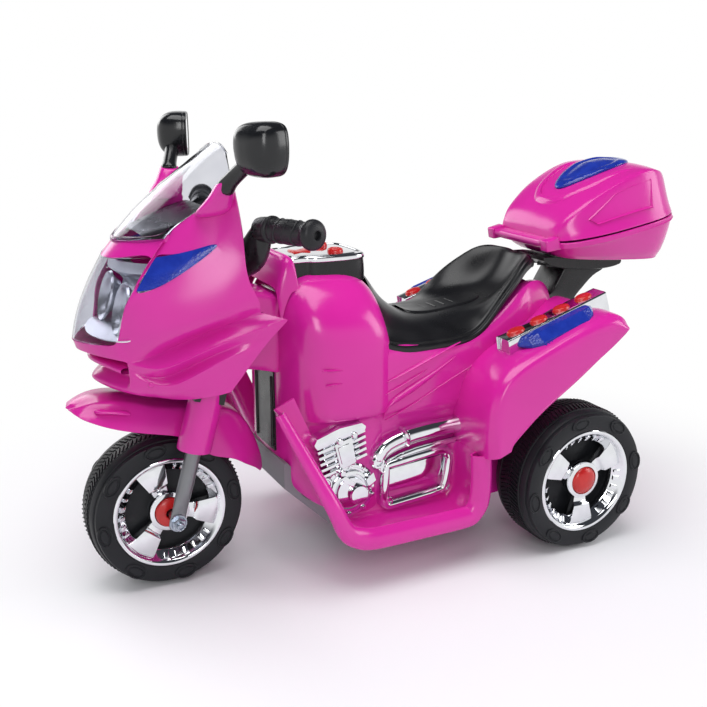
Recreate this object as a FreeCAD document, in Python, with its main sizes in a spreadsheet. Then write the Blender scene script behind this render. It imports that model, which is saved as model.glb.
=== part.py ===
import FreeCAD, Part
import Sketcher
import math
import operator
import os
from types import SimpleNamespace
from FreeCAD import Placement, Rotation, Vector

# Ride-on motorbike with one front and two rear wheels.
# Millimetres and degrees, +X forward, +Y to the rider's left, +Z up, ground at Z = 0.
# Every piece is drawn about the axle line, so its heights count from the axles,
# and is lifted by the wheel radius at the end.
SIZES = {
    # wheels and axles
    "wheel_radius": 90,
    "wheelbase": 476,
    "rear_axle_x": -181.5,
    "rear_wheel_y": 138,
    "front_tyre_width": 62,
    "rear_tyre_width": 70,
    "shoulder_drop": 4,
    "shoulder_width": 9,
    "rim_radius": 64,
    "rim_thickness": 5,
    "rim_inset": 3,
    "rim_ring_width": 9,
    "rim_spoke_angle": 34,
    "rim_boss_radius": 25,
    "dish_radius": 60,
    "web_thickness": 14,
    "hub_radius": 16,
    "cap_height": 6,
    "axle_radius": 5,
    "nut_radius": 9,
    "nut_height": 5,
    "washer_thickness": 1.5,
    # clearances
    "running_clearance": 0.08,
    "seat_clearance": 0.3,
    # fork and steering, along the raked steering axis from the front axle
    "rake": 16,
    "leg_spread": 54,
    "leg_radius": 8.5,
    "lug_radius": 11,
    "lug_half_width": 10,
    "crown_low": 142,
    "crown_height": 18,
    "crown_depth": 34,
    "sleeve_radius": 19,
    "sleeve_low": 76,
    "column_radius": 9,
    "bush_wall": 4,
    "bush_length": 14,
    "bush_flange": 4,
    "neck_low": 165,
    "neck_high": 262,
    "neck_half_width": 38,
    "neck_front": 22,
    "yoke_low": 276,
    "yoke_height": 14,
    "riser_spread": 60,
    "riser_width": 22,
    "bar_height": 340,
    "bar_radius": 8,
    "bar_half_width": 95,
    "grip_sweep": 17,
    "grip_length": 82,
    "grip_radius": 14,
    "grip_flange_radius": 18,
    "grip_flange": 6,
    "cockpit_height": 312,
    "cockpit_thickness": 4,
    "cockpit_reach": 50,
    # fairing and front mudguard
    "fairing_half_width": 125,
    "fairing_reach": 110,
    "fairing_height": 407,
    "fairing_wall": 3,
    "panel_gap": 0.4,
    "mirror_width": 56,
    "mirror_height": 52,
    "mirror_depth": 26,
    "mirror_stem_radius": 9,
    "lamp_radius": 15,
    "mudguard_half_width": 43,
    "mudguard_reach": 118,
    "mudguard_height": 143,
    "mudguard_wall": 3,
    # body
    "body_wall": 3,
    "belly_drop": 38,
    "tank_height": 264,
    "tank_half_width": 97,
    "tank_front": 132,
    "deck_height": 178,
    "body_half_width": 92,
    "tail_half_width": 62,
    "tail_height": 222,
    "front_panel_half_width": 30,
    "front_panel_thickness": 4,
    "belly_pan_half_width": 58,
    "belly_pan_thickness": 3,
    "screw_radius": 2,
    "screw_head_radius": 4,
    "screw_head_height": 2,
    "screw_reach": 8,
    "tray_half_width": 150,
    "tray_drop": 28,
    "tray_wall": 4,
    "tray_lip": 11,
    "tray_rim_width": 10,
    "tray_rim_drop": 5,
    "tray_upstand": 68,
    "shield_height": 118,
    "shield_half_width": 100,
    # seat, dash and side trim
    "seat_half_width": 84,
    "seat_back_height": 258,
    "dash_rise": 11,
    "dash_length": 102,
    "dash_half_width": 44,
    "dash_plate": 5,
    "button_radius": 9,
    "button_height": 5,
    "button_travel": 2,
    "rocker_length": 24,
    "rocker_width": 12,
    "trim_half_width": 101,
    # rear mudguards and their lights
    "guard_half_width": 168,
    "guard_reach": 138,
    "guard_height": 202,
    "guard_wall": 3,
    "guard_rounding": 9,
    "light_bar_y": 121,
    "light_bar_width": 26,
    "light_bar_height": 20,
    "light_bar_length": 150,
    "light_bar_slope": 17.5,
    "lens_width": 20,
    "side_lens_height": 15,
    "lamp_disc_radius": 9,
    # top box, drawn in a frame on its hinge that leans up towards the rear
    "box_hinge_x": -13,
    "box_rise": 14,
    "box_tilt": 10,
    "box_length": 200,
    "box_half_width": 94,
    "box_depth": 64,
    "lid_height": 66,
    "box_wall": 3,
    "hinge_radius": 6,
    "hinge_pin_radius": 2.2,
    "hinge_half_width": 50,
    "hinge_ear": 14,
    "bracket_half_width": 26,
    # drive and electrics
    "gear_module": 1.25,
    "gear_teeth": 40,
    "pinion_teeth": 12,
    "gear_width": 10,
    "gear_y": 24,
    "tooth_backlash": 0.3,
    "case_wall": 2.5,
    "sleeve_wall": 3.5,
    "motor_radius": 14,
    "motor_length": 46,
    "shaft_radius": 1.6,
    "battery_length": 70,
    "battery_width": 48,
    "battery_height": 100,
    "board_height": 12,
    "speaker_radius": 24,
    "speaker_depth": 16,
    "socket_radius": 6,
    "socket_flange": 9,
    "socket_ahead": 174,
    # foot pedal
    "pedal_length": 66,
    "pedal_width": 30,
    "pedal_thickness": 6,
    "pedal_rise": 14,
    "pedal_pin_radius": 3,
}

doc = FreeCAD.newDocument("ride_on_motorbike")
sheet = doc.addObject("Spreadsheet::Sheet", "sizes")
for row, (alias, number) in enumerate(SIZES.items(), start=1):
    sheet.set(f"A{row}", alias)
    sheet.set(f"B{row}", str(number))
    sheet.setAlias(f"B{row}", alias)
doc.recompute()


class Size:
    """A value of the sheet, or a sum of such values, with the expression that yields it."""

    def __init__(self, value, text):
        self.value = value
        self.text = text

    def __float__(self):
        return float(self.value)

    def __add__(self, other):
        return joined(self, "+", other)

    def __radd__(self, other):
        return joined(other, "+", self)

    def __sub__(self, other):
        return joined(self, "-", other)

    def __rsub__(self, other):
        return joined(other, "-", self)

    def __mul__(self, other):
        return joined(self, "*", other)

    def __rmul__(self, other):
        return joined(other, "*", self)

    def __truediv__(self, other):
        return joined(self, "/", other)

    def __neg__(self):
        return joined(0, "-", self)


OPERATIONS = {"+": operator.add, "-": operator.sub, "*": operator.mul, "/": operator.truediv}


def joined(left, sign, right):
    value = OPERATIONS[sign](float(left), float(right))
    return Size(value, f"({expression(left)} {sign} {expression(right)})")


def expression(quantity):
    return quantity.text if isinstance(quantity, Size) else f"{float(quantity):.6f}"


def sine(angle):
    return Size(math.sin(math.radians(float(angle))), f"sin({expression(angle)})")


def cosine(angle):
    return Size(math.cos(math.radians(float(angle))), f"cos({expression(angle)})")


size = SimpleNamespace(**{alias: Size(float(sheet.get(alias)), f"sizes.{alias}") for alias in SIZES})
front_axle_x = size.rear_axle_x + size.wheelbase
rear_axle_x = size.rear_axle_x
dash_height = size.tank_height + size.dash_rise
box_hinge_height = size.seat_back_height + size.box_rise

# Placement and primitive solids
TURN_TO = {"x": (Vector(0, 1, 0), 90), "y": (Vector(1, 0, 0), -90), "z": (Vector(0, 0, 1), 0)}


def bind(thing, quantities):
    for path, quantity in quantities.items():
        thing.setExpression(path, expression(quantity))
    return thing


def place(thing, at, axis=Vector(0, 0, 1), angle=0):
    thing.Placement = Placement(Vector(0, 0, 0), Rotation(axis, float(angle)))
    bind(thing, {f"Placement.Base.{letter}": value for letter, value in zip("xyz", at)})
    if isinstance(angle, Size):
        bind(thing, {"Placement.Rotation.Angle": angle})
    return thing


def block(name, low, high):
    """Box between two opposite corners."""
    thing = doc.addObject("Part::Box", name)
    spans = [upper - lower for lower, upper in zip(low, high)]
    bind(thing, dict(zip(("Length", "Width", "Height"), spans)))
    return place(thing, low)


def rod(name, radius, length, at, axis="y"):
    """Cylinder from a point along one of the axes."""
    thing = doc.addObject("Part::Cylinder", name)
    bind(thing, {"Radius": radius, "Height": length})
    return place(thing, at, *TURN_TO[axis])


def tube(name, radius, bore, length, at, axis="y"):
    outer = rod(f"{name}_outer", radius, length, at, axis)
    inner = rod(f"{name}_bore", bore, length, at, axis)
    return cut(name, outer, inner)


def hexagon(name, radius, length, at, axis="y"):
    thing = doc.addObject("Part::Prism", name)
    thing.Polygon = 6
    bind(thing, {"Circumradius": radius, "Height": length})
    return place(thing, at, *TURN_TO[axis])


# Combining solids
def fuse(name, *things):
    thing = doc.addObject("Part::MultiFuse", name)
    thing.Shapes = list(things)
    return thing


def cut(name, base, *tools):
    thing = doc.addObject("Part::Cut", name)
    thing.Base = base
    thing.Tool = tools[0] if len(tools) == 1 else group(f"{name}_tools", *tools)
    return thing


def common(name, base, tool):
    thing = doc.addObject("Part::Common", name)
    thing.Base = base
    thing.Tool = tool
    return thing


def group(name, *things):
    thing = doc.addObject("Part::Compound", name)
    thing.Links = list(things)
    return thing


def mirrored(name, source):
    """Copy on the other side of the middle plane."""
    thing = doc.addObject("Part::Mirroring", name)
    thing.Source = source
    thing.Normal = Vector(0, 1, 0)
    return thing


def both_sides(name, left):
    return group(name, left, mirrored(f"{name}_right", left))


def shape_of(thing):
    doc.recompute()
    return thing.Shape


def free_form(name, shape):
    """Solid whose surface no primitive or pad can give."""
    thing = doc.addObject("Part::Feature", name)
    thing.Shape = shape
    return thing


def main_solid(name, thing):
    """The largest solid left by a cut."""
    return free_form(name, max(shape_of(thing).Solids, key=lambda solid: solid.Volume))


# Sketched bodies
def sketch_on(body, plane_role, name):
    plane = next(item for item in body.Origin.OriginFeatures if item.Role == plane_role)
    sketch = body.newObject("Sketcher::SketchObject", name)
    sketch.AttachmentSupport = [(plane, "")]
    sketch.MapMode = "FlatFace"
    return sketch


def draw_outline(sketch, corners):
    """Straight closed outline whose corners follow the sheet."""
    points = [Vector(float(across), float(along), 0) for across, along in corners]
    count = len(points)
    for index in range(count):
        sketch.addGeometry(Part.LineSegment(points[index], points[(index + 1) % count]), False)
    for index in range(count):
        sketch.addConstraint(Sketcher.Constraint("Coincident", index, 2, (index + 1) % count, 1))
    for index, corner in enumerate(corners):
        for kind, quantity in zip(("DistanceX", "DistanceY"), corner):
            held = sketch.addConstraint(Sketcher.Constraint(kind, -1, 1, index, 1, float(quantity)))
            sketch.setExpression(f"Constraints[{held}]", expression(quantity))


def pad(name, plane_role, corners, length):
    """Body with one padded outline: towards -Y from an XZ plane, towards +Z from an XY plane."""
    body = doc.addObject("PartDesign::Body", name)
    sketch = sketch_on(body, plane_role, f"{name}_outline")
    draw_outline(sketch, corners)
    feature = body.newObject("PartDesign::Pad", f"{name}_pad")
    feature.Profile = sketch
    bind(feature, {"Length": length})
    return body


def side_pad(name, corners, low_y, high_y):
    """Side view outline padded from one height of Y to another."""
    return place(pad(name, "XZ_Plane", corners, high_y - low_y), (0, high_y, 0))


def plan_pad(name, corners, low_z, high_z):
    return place(pad(name, "XY_Plane", corners, high_z - low_z), (0, 0, low_z))


def spin(name, corners):
    """Body of revolution about Y from radius and width pairs."""
    body = doc.addObject("PartDesign::Body", name)
    sketch = sketch_on(body, "XY_Plane", f"{name}_profile")
    draw_outline(sketch, corners)
    feature = body.newObject("PartDesign::Revolution", f"{name}_turn")
    feature.Profile = sketch
    feature.ReferenceAxis = (sketch, ["V_Axis"])
    feature.Angle = 360
    return body


# Frames in which groups of pieces are drawn, each given from the axle line
Y_AXIS = Vector(0, 1, 0)
FRAMES = {
    "body": ((0, 0, 0), 0),
    "fork": ((front_axle_x, 0, 0), -size.rake),
    "box": ((rear_axle_x + size.box_hinge_x, 0, box_hinge_height), size.box_tilt),
}
nodes = []


def framed(name, thing, frame):
    """The same solid, moved from its own frame to the axle line's."""
    at, angle = FRAMES[frame]
    return place(group(name, thing), at, Y_AXIS, angle)


def node(label, thing, frame="body"):
    """Finished sub-part, lifted so that the wheels stand on the ground."""
    (x, y, z), angle = FRAMES[frame]
    part = place(group(label, thing), (x, y, size.wheel_radius + z), Y_AXIS, angle)
    part.Label = label
    nodes.append(part)
    return part


def stretch(values, extent):
    """Factor that brings the largest number of an outline to a named extent."""
    return float(extent) / max(abs(value) for value in values)


# Wheels: hollow moulded tyre with web and hub, plated rim cover and red cap
def tyre(name, width, hub_outer, hub_inner):
    half = width / 2
    bore = size.axle_radius + size.running_clearance
    seat = size.rim_radius + size.seat_clearance
    ledge = half - size.rim_inset - size.rim_thickness
    web = size.web_thickness / 2
    shoulder = size.wheel_radius - size.shoulder_drop
    tread = half - size.shoulder_width
    outer_side = [
        (bore, hub_outer), (size.hub_radius, hub_outer), (size.hub_radius, web), (size.dish_radius, web),
        (size.dish_radius, ledge), (seat, ledge), (seat, half), (shoulder, half), (size.wheel_radius, tread),
    ]
    inner_side = [
        (size.wheel_radius, -tread), (shoulder, -half), (seat, -half), (seat, -ledge),
        (size.dish_radius, -ledge), (size.dish_radius, -web), (size.hub_radius, -web),
        (size.hub_radius, -hub_inner), (bore, -hub_inner),
    ]
    return spin(name, outer_side + inner_side)


SPOKES = 3


def rim(name, half, first_spoke):
    """Plated cover with three broad spokes, on the +Y face of a wheel at the origin."""
    low = half - size.rim_inset - size.rim_thickness
    plate = rod(f"{name}_plate", size.rim_radius, size.rim_thickness, (0, low, 0))
    boss = rod(f"{name}_boss", size.rim_boss_radius, size.rim_thickness + size.rim_inset, (0, low, 0))
    windows = []
    opening = 360 / SPOKES - size.rim_spoke_angle
    for spoke in range(SPOKES):
        sector = doc.addObject("Part::Cylinder", f"{name}_sector_{spoke}")
        bind(sector, {"Radius": size.rim_radius - size.rim_ring_width, "Height": 3 * size.rim_thickness})
        bind(sector, {"Angle": opening})
        turn = first_spoke + 360 / SPOKES * spoke + float(size.rim_spoke_angle) / 2
        facing_y = Rotation(Vector(1, 0, 0), -90)
        sector.Placement = Placement(Vector(0, 0, 0), Rotation(Y_AXIS, turn) * facing_y)
        bind(sector, {"Placement.Base.y": low - size.rim_thickness})
        windows.append(sector)
    spoked = cut(f"{name}_spoked", plate, *windows)
    bore = rod(f"{name}_bore", size.hub_radius + size.seat_clearance, size.rim_radius, (0, low - 1, 0))
    return cut(name, fuse(f"{name}_whole", spoked, boss), bore)


def moved(name, thing, x, y):
    return place(group(name, thing), (x, y, 0))


front_half = size.front_tyre_width / 2
rear_half = size.rear_tyre_width / 2
front_hub = front_half - 1
rear_hub_outer = rear_half - size.rim_inset - size.nut_height - size.washer_thickness - size.cap_height
wheel_inner_y = size.rear_wheel_y - rear_half - 3
rear_hub_inner = size.rear_wheel_y - wheel_inner_y

FRONT_SPOKE = -100
front_tyre = tyre("front_tyre_body", size.front_tyre_width, front_hub, front_hub)
node("front_tyre", moved("front_tyre_at", front_tyre, front_axle_x, 0))
front_rims = both_sides("front_rim_pair", rim("front_rim", front_half, FRONT_SPOKE))
node("front_rims", moved("front_rims_at", front_rims, front_axle_x, 0))
front_cap = tube(
    "front_cap", size.hub_radius, size.axle_radius + 1, size.washer_thickness * 2,
    (0, front_hub, 0),
)
node("front_caps", moved("front_caps_at", both_sides("front_cap_pair", front_cap), front_axle_x, 0))

REAR_SPOKE = 60
for side, sign in (("left", 1), ("right", -1)):
    wheel = {
        "tyre": tyre(f"rear_{side}_tyre_body", size.rear_tyre_width, rear_hub_outer, rear_hub_inner),
        "rim": rim(f"rear_{side}_rim_plate", rear_half, REAR_SPOKE),
    }
    cap_low = rear_half - size.cap_height
    dome = rod(f"rear_{side}_cap_disc", size.hub_radius, size.cap_height + 2, (0, cap_low, 0))
    rounded = doc.addObject("Part::Fillet", f"rear_{side}_cap_dome")
    rounded.Base = dome
    doc.recompute()
    far_edge = max(range(1, 4), key=lambda number: dome.Shape.getElement(f"Edge{number}").CenterOfMass.y)
    rounded.Edges = [(far_edge, float(size.cap_height) / 2, float(size.cap_height) / 2)]
    wheel["cap"] = rounded
    for piece, thing in wheel.items():
        whole = thing if sign > 0 else mirrored(f"rear_right_{piece}_turned", thing)
        label = f"rear_{side}_{piece}"
        node(label, moved(f"{label}_at", whole, rear_axle_x, sign * size.rear_wheel_y))

# Rear axle with its nuts and washers


def nut_and_washer(name, x, low):
    washer = tube(f"{name}_washer", size.nut_radius + 2, size.axle_radius, size.washer_thickness, (x, low, 0))
    blank = hexagon(f"{name}_blank", size.nut_radius, size.nut_height, (x, low + size.washer_thickness, 0))
    hole = rod(f"{name}_hole", size.axle_radius, 3 * size.nut_height, (x, low, 0))
    return group(name, washer, cut(f"{name}_nut", blank, hole))


def axle_rod(name, x, reach):
    return rod(name, size.axle_radius, 2 * reach, (x, -reach, 0))


nut_seat = size.rear_wheel_y + rear_hub_outer + size.seat_clearance
rear_axle = axle_rod("rear_axle_rod", rear_axle_x, nut_seat + size.washer_thickness + size.nut_height)
rear_nuts = both_sides("rear_nut_pair", nut_and_washer("rear_nut", rear_axle_x, nut_seat))
node("rear_axle", group("rear_axle_set", rear_axle, rear_nuts))

# Fork, drawn upright about the steering axis
lug_end = size.leg_spread + size.lug_half_width
lug_start = size.leg_spread - size.lug_half_width
crown_high = size.crown_low + size.crown_height
leg_start = (size.axle_radius + size.lug_radius) / 2
leg = fuse(
    "leg_solid",
    rod("leg_rod", size.leg_radius, crown_high - leg_start, (0, size.leg_spread, leg_start), "z"),
    rod("leg_lug", size.lug_radius, 2 * size.lug_half_width, (0, lug_start, 0)),
)
leg_hole = rod("leg_hole", size.axle_radius, size.leg_spread, (0, size.leg_spread / 2, 0))
node("fork_legs", both_sides("leg_pair", cut("leg", leg, leg_hole)), "fork")

axle_reach = lug_end + size.washer_thickness + size.nut_height + 1
spacer_low = front_hub + size.washer_thickness * 2 + size.seat_clearance
spacer = tube(
    "front_spacer", size.axle_radius + 3, size.axle_radius,
    lug_start - spacer_low, (front_axle_x, spacer_low, 0),
)
front_nut = nut_and_washer("front_nut", front_axle_x, lug_end)
node("front_axle", group(
    "front_axle_set", axle_rod("front_axle_rod", front_axle_x, axle_reach),
    both_sides("front_nut_pair", front_nut), both_sides("front_spacer_pair", spacer),
))

crown_half = size.leg_spread + size.leg_radius + 6
half_depth = size.crown_depth / 2
crown_block = block(
    "crown_block", (-half_depth, -crown_half, size.crown_low), (half_depth, crown_half, crown_high),
)
crown_leg_hole = rod("crown_leg_hole", size.leg_radius, 2 * crown_high, (0, size.leg_spread, 0), "z")
crown_column_hole = rod("crown_column_hole", size.column_radius, 2 * crown_high, (0, 0, 0), "z")
crown_holes = group("crown_holes", both_sides("crown_leg_holes", crown_leg_hole), crown_column_hole)
node("fork_crown", cut("crown", crown_block, crown_holes), "fork")

yoke_high = size.yoke_low + size.yoke_height
column = rod("column_rod", size.column_radius, yoke_high - size.crown_low, (0, 0, size.crown_low), "z")
node("steering_column", column, "fork")

column_bore = size.column_radius + size.running_clearance
bush_radius = size.column_radius + size.bush_wall


def bush(name, low, flange_low):
    barrel = rod(f"{name}_barrel", bush_radius, size.bush_length, (0, 0, low), "z")
    flange = rod(f"{name}_flange", bush_radius + size.bush_wall, size.bush_flange, (0, 0, flange_low), "z")
    bore = rod(f"{name}_bore", column_bore, size.neck_high * 2, (0, 0, 0), "z")
    return cut(name, fuse(f"{name}_whole", barrel, flange), bore)


lower_bush = bush("lower_bush", size.neck_low, size.neck_low - size.bush_flange)
upper_bush = bush("upper_bush", size.neck_high - size.bush_length, size.neck_high)
node("steering_bushes", group("bush_pair", lower_bush, upper_bush), "fork")

# Handlebar: yoke on the column, two risers and a bar with swept ends, under rubber grips
yoke_half = size.riser_spread + size.riser_width / 2
riser_half = size.riser_width / 2
yoke = block("yoke", (-half_depth, -yoke_half, size.yoke_low), (half_depth, yoke_half, yoke_high))
riser = block(
    "riser",
    (-riser_half, size.riser_spread - riser_half, yoke_high),
    (riser_half, size.riser_spread + riser_half, size.bar_height),
)
bar = rod("bar", size.bar_radius, 2 * size.bar_half_width, (0, -size.bar_half_width, size.bar_height))


def swept(name, thing):
    """Turned back about the end of the straight bar."""
    return place(group(name, thing), (0, size.bar_half_width, size.bar_height), Vector(0, 0, 1), size.grip_sweep)


bar_end = swept("bar_end_swept", rod("bar_end", size.bar_radius, size.grip_length, (0, 0, 0)))
bar_joint = doc.addObject("Part::Sphere", "bar_joint")
bind(bar_joint, {"Radius": size.bar_radius})
place(bar_joint, (0, size.bar_half_width, size.bar_height))
bar_left = fuse("bar_left", riser, bar_end, bar_joint)
handlebar = fuse("handlebar_whole", yoke, bar, bar_left, mirrored("bar_right", bar_left))
yoke_hole = rod("yoke_hole", size.column_radius, size.bar_height - size.yoke_low, (0, 0, size.yoke_low), "z")
node("handlebar", cut("handlebar_drilled", handlebar, yoke_hole), "fork")

grip_start = size.bar_radius + 2
grip = fuse(
    "grip_solid",
    rod("grip_barrel", size.grip_radius, size.grip_length - grip_start + 4, (0, grip_start, 0)),
    rod("grip_end", size.grip_flange_radius, size.grip_flange, (0, size.grip_length - 2, 0)),
    rod("grip_collar", size.grip_flange_radius, size.grip_flange, (0, grip_start, 0)),
)
grip_bore = rod("grip_bore", size.bar_radius, size.grip_length, (0, 0, 0))
node("grips", both_sides("grip_pair", swept("grip_swept", cut("grip", grip, grip_bore))), "fork")

# Fairing: one moulded skin over the steering head, drawn as level outlines from low to high.
# Each level is height, then x and y of the nose, brow, cheek and rear edge, from the front axle.
FAIRING_LEVELS = (
    (148, (48, 0), (36, 45), (-10, 75), (-52, 90)),
    (163, (67, 0), (50, 48), (0, 82), (-56, 98)),
    (195, (82, 0), (56, 54), (5, 92), (-80, 112)),
    (212, (87, 0), (53, 60), (0, 98), (-101, 122)),
    (233, (80, 0), (48, 66), (-5, 102), (-110, 125)),
    (245, (74, 0), (45, 69), (-10, 104), (-84, 122)),
    (262, (66, 0), (38, 73), (-14, 105), (-68, 120)),
    (282, (56, 0), (26, 72), (-20, 104), (-64, 117)),
    (302, (38, 0), (10, 66), (-34, 99), (-64, 112)),
    (340, (6, 0), (-19, 62), (-45, 90), (-63, 106)),
    (365, (-24, 0), (-42, 54), (-58, 78), (-70, 92)),
    (407, (-80, 0), (-88, 34), (-95, 48), (-102, 58)),
)
along = stretch([x for level in FAIRING_LEVELS for x, y in level[1:]], size.fairing_reach)
across = stretch([y for level in FAIRING_LEVELS for x, y in level[1:]], size.fairing_half_width)
upward = stretch([level[0] for level in FAIRING_LEVELS], size.fairing_height)
front_x = float(front_axle_x)


def fairing_point(x, y, z):
    return Vector(front_x + x * along, y * across, z * upward)


def inset(points, distance):
    """Open path moved inwards, each corner along the mean of its two sides' normals."""
    normals = []
    for start, end in zip(points, points[1:]):
        run = end - start
        normals.append(Vector(-run.y, run.x, 0).normalize())
    result = []
    for index, point in enumerate(points):
        before = normals[max(index - 1, 0)]
        after = normals[min(index, len(normals) - 1)]
        mean = before + after
        result.append(point + mean * (2 * distance / mean.dot(mean)))
    return result


def fairing_outline(level):
    height, *half = level
    left = [fairing_point(x, y, height) for x, y in half]
    right = [Vector(point.x, -point.y, point.z) for point in left[:0:-1]]
    return right + left


def closed_wire(points):
    return Part.makePolygon(points + points[:1])


skin_sections = []
cavity_sections = []
for level in FAIRING_LEVELS:
    outer = fairing_outline(level)
    inner = inset(outer, float(size.fairing_wall))
    skin_sections.append(closed_wire(outer + inner[::-1]))
    cavity_sections.append(closed_wire(inset(outer, float(size.fairing_wall))))
fairing_skin = free_form("fairing_skin", Part.makeLoft(skin_sections, True, True))
fairing_cavity = free_form("fairing_cavity", Part.makeLoft(cavity_sections, True, True))


def fairing_prism(name, corners, low=-200, high=200):
    """Side view outline in the fairing's own proportions, cut right across it."""
    points = [fairing_point(x, 0, z) for x, z in corners]
    face = Part.Face(closed_wire(points))
    face.translate(Vector(0, low * across, 0))
    return free_form(name, face.extrude(Vector(0, (high - low) * across, 0)))


HEADLIGHT = ((150, 196), (88, 206), (51, 214), (36, 267), (13, 299), (48, 291), (150, 291))
INDICATOR = ((12, 300), (35, 268), (-4, 284), (-47, 312))
SCREEN = ((120, 303), (39, 303), (-4, 317), (-59, 366), (-150, 366), (-150, 450), (120, 450))
AIR_SLOT = ((40, 168), (120, 168), (120, 181), (40, 181))
headlight_cut = fairing_prism("headlight_cut", HEADLIGHT)
indicator_cut = fairing_prism("indicator_cut", INDICATOR)
screen_cut = fairing_prism("screen_cut", SCREEN)
air_slot = fairing_prism("air_slot", AIR_SLOT, -46, 46)
node("fairing", cut("fairing_rest", fairing_skin, headlight_cut, indicator_cut, screen_cut, air_slot))


def shrunk(corners):
    """Outline drawn in by the gap between neighbouring panels."""
    points = [Vector(x, z, 0) for x, z in corners]
    face = Part.Face(closed_wire(points))
    narrowed = face.makeOffset2D(-float(size.panel_gap), 2)
    return [(vertex.X, vertex.Y) for vertex in narrowed.OuterWire.OrderedVertexes]


for label, corners in (("headlight_lens", HEADLIGHT), ("indicator_lenses", INDICATOR), ("windscreen", SCREEN)):
    node(label, common(f"{label}_skin", fairing_skin, fairing_prism(f"{label}_region", shrunk(corners))))

# Behind the lens: plated reflector that fills the skin from side to side, with two lamps in it
REFLECTOR = ((44, 208), (8, 288), (3, 286), (39, 206))
reflector_plate = common("reflector_plate", fairing_cavity, fairing_prism("reflector_slab", REFLECTOR))
reflector_lean = Rotation(Y_AXIS, -24)


def lamp(name, radius, length):
    thing = doc.addObject("Part::Cylinder", name)
    bind(thing, {"Radius": radius, "Height": length})
    facing_forward = Rotation(Y_AXIS, 90)
    thing.Placement = Placement(fairing_point(25, 30, 248), reflector_lean * facing_forward)
    return thing


lamp_pair = both_sides("lamp_pair", lamp("lamp", size.lamp_radius, 14))
node("headlight_reflector", cut("reflector_drilled", reflector_plate, lamp_pair))
node("headlight_lamps", lamp_pair)

# Cockpit panel across the skin, on a post from the handlebar yoke
cockpit_slab = framed("cockpit_slab", block(
    "cockpit_block",
    (-120, -160, size.cockpit_height),
    (160, 160, size.cockpit_height + size.cockpit_thickness),
), "fork")
cockpit_plate = main_solid("cockpit_plate", common("cockpit_fit", fairing_cavity, cockpit_slab))
post_half = size.column_radius + 3
cockpit_high = size.cockpit_height + size.cockpit_thickness
cockpit_post = block(
    "cockpit_post", (-post_half, -post_half, yoke_high), (post_half, post_half, cockpit_high),
)
cockpit_tongue = block(
    "cockpit_tongue", (0, -post_half, size.cockpit_height), (size.cockpit_reach, post_half, cockpit_high),
)
cockpit_carrier = framed("cockpit_carrier", fuse("cockpit_post_whole", cockpit_post, cockpit_tongue), "fork")
node("cockpit_panel", fuse("cockpit_whole", cockpit_plate, cockpit_carrier))

# Mirrors on stems from the upper rear corners of the fairing
stem_base = fairing_point(-56, 98, 352)
mirror_centre = fairing_point(-80, 142, 409)
stem_axis = mirror_centre - stem_base
stem = doc.addObject("Part::Cylinder", "mirror_stem")
bind(stem, {"Radius": size.mirror_stem_radius})
stem.Height = stem_axis.Length
stem.Placement = Placement(stem_base, Rotation(Vector(0, 0, 1), stem_axis))
half_mirror = (size.mirror_depth / 2, size.mirror_width / 2, size.mirror_height / 2)
housing = block(
    "mirror_block",
    [Size(value, f"{value:.6f}") - half for value, half in zip(mirror_centre, half_mirror)],
    [Size(value, f"{value:.6f}") + half for value, half in zip(mirror_centre, half_mirror)],
)
rounded_housing = doc.addObject("Part::Fillet", "mirror_rounded")
rounded_housing.Base = housing
MIRROR_ROUNDING = 0.42
mirror_fillet = float(size.mirror_depth) * MIRROR_ROUNDING
doc.recompute()
front_edges = []
for number, edge in enumerate(housing.Shape.Edges, start=1):
    lies_behind = edge.BoundBox.XMax < mirror_centre.x
    if not lies_behind:
        front_edges.append((number, mirror_fillet, mirror_fillet))
rounded_housing.Edges = front_edges
GLASS_THICKNESS = 2
glass_margin = 5
glass_x = Size(mirror_centre.x, f"{mirror_centre.x:.6f}") - size.mirror_depth / 2
glass = block(
    "mirror_glass",
    (glass_x, mirror_centre.y - size.mirror_width / 2 + glass_margin,
     mirror_centre.z - size.mirror_height / 2 + glass_margin),
    (glass_x + GLASS_THICKNESS, mirror_centre.y + size.mirror_width / 2 - glass_margin,
     mirror_centre.z + size.mirror_height / 2 - glass_margin),
)
mirror = cut("mirror_left", fuse("mirror_solid", stem, rounded_housing), fairing_skin, fairing_cavity, glass)
node("mirror_housings", both_sides("mirror_pair", main_solid("mirror_main", mirror)))
node("mirror_glasses", both_sides("mirror_glass_pair", glass))

# Front mudguard: ridged skin over the wheel with a sleeve for each fork leg.
# Each station is x from the axle, height of the ridge, height of the edge, half-width.
MUDGUARD_STATIONS = (
    (100, 135, 128, 14),
    (90, 139, 124, 26),
    (62, 143, 114, 40),
    (20, 138, 103, 43),
    (-9, 132, 93, 43),
    (-45, 122, 66, 43),
    (-76, 108, 54, 42),
    (-98, 88, 42, 38),
    (-111, 62, 32, 28),
    (-118, 40, 24, 16),
)
guard_along = stretch([station[0] for station in MUDGUARD_STATIONS], size.mudguard_reach)
guard_upward = stretch([station[1] for station in MUDGUARD_STATIONS], size.mudguard_height)
guard_across = stretch([station[3] for station in MUDGUARD_STATIONS], size.mudguard_half_width)


def mudguard_section(station, wall):
    x, ridge, edge, half = station
    x = front_x + x * guard_along
    ridge = ridge * guard_upward
    edge = edge * guard_upward
    half = half * guard_across
    shoulder = edge + 0.62 * (ridge - edge)
    outer = [Vector(x, half, edge), Vector(x, 0.84 * half, shoulder), Vector(x, 0, ridge)]
    inner = [
        Vector(x, half - wall, edge), Vector(x, 0.84 * half - wall, shoulder - 0.6 * wall),
        Vector(x, 0, ridge - wall),
    ]
    flip = [Vector(point.x, -point.y, point.z) for point in outer[1::-1]]
    inner_flip = [Vector(point.x, -point.y, point.z) for point in inner[:2]]
    return closed_wire(outer + flip + inner_flip + inner[::-1])


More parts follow.
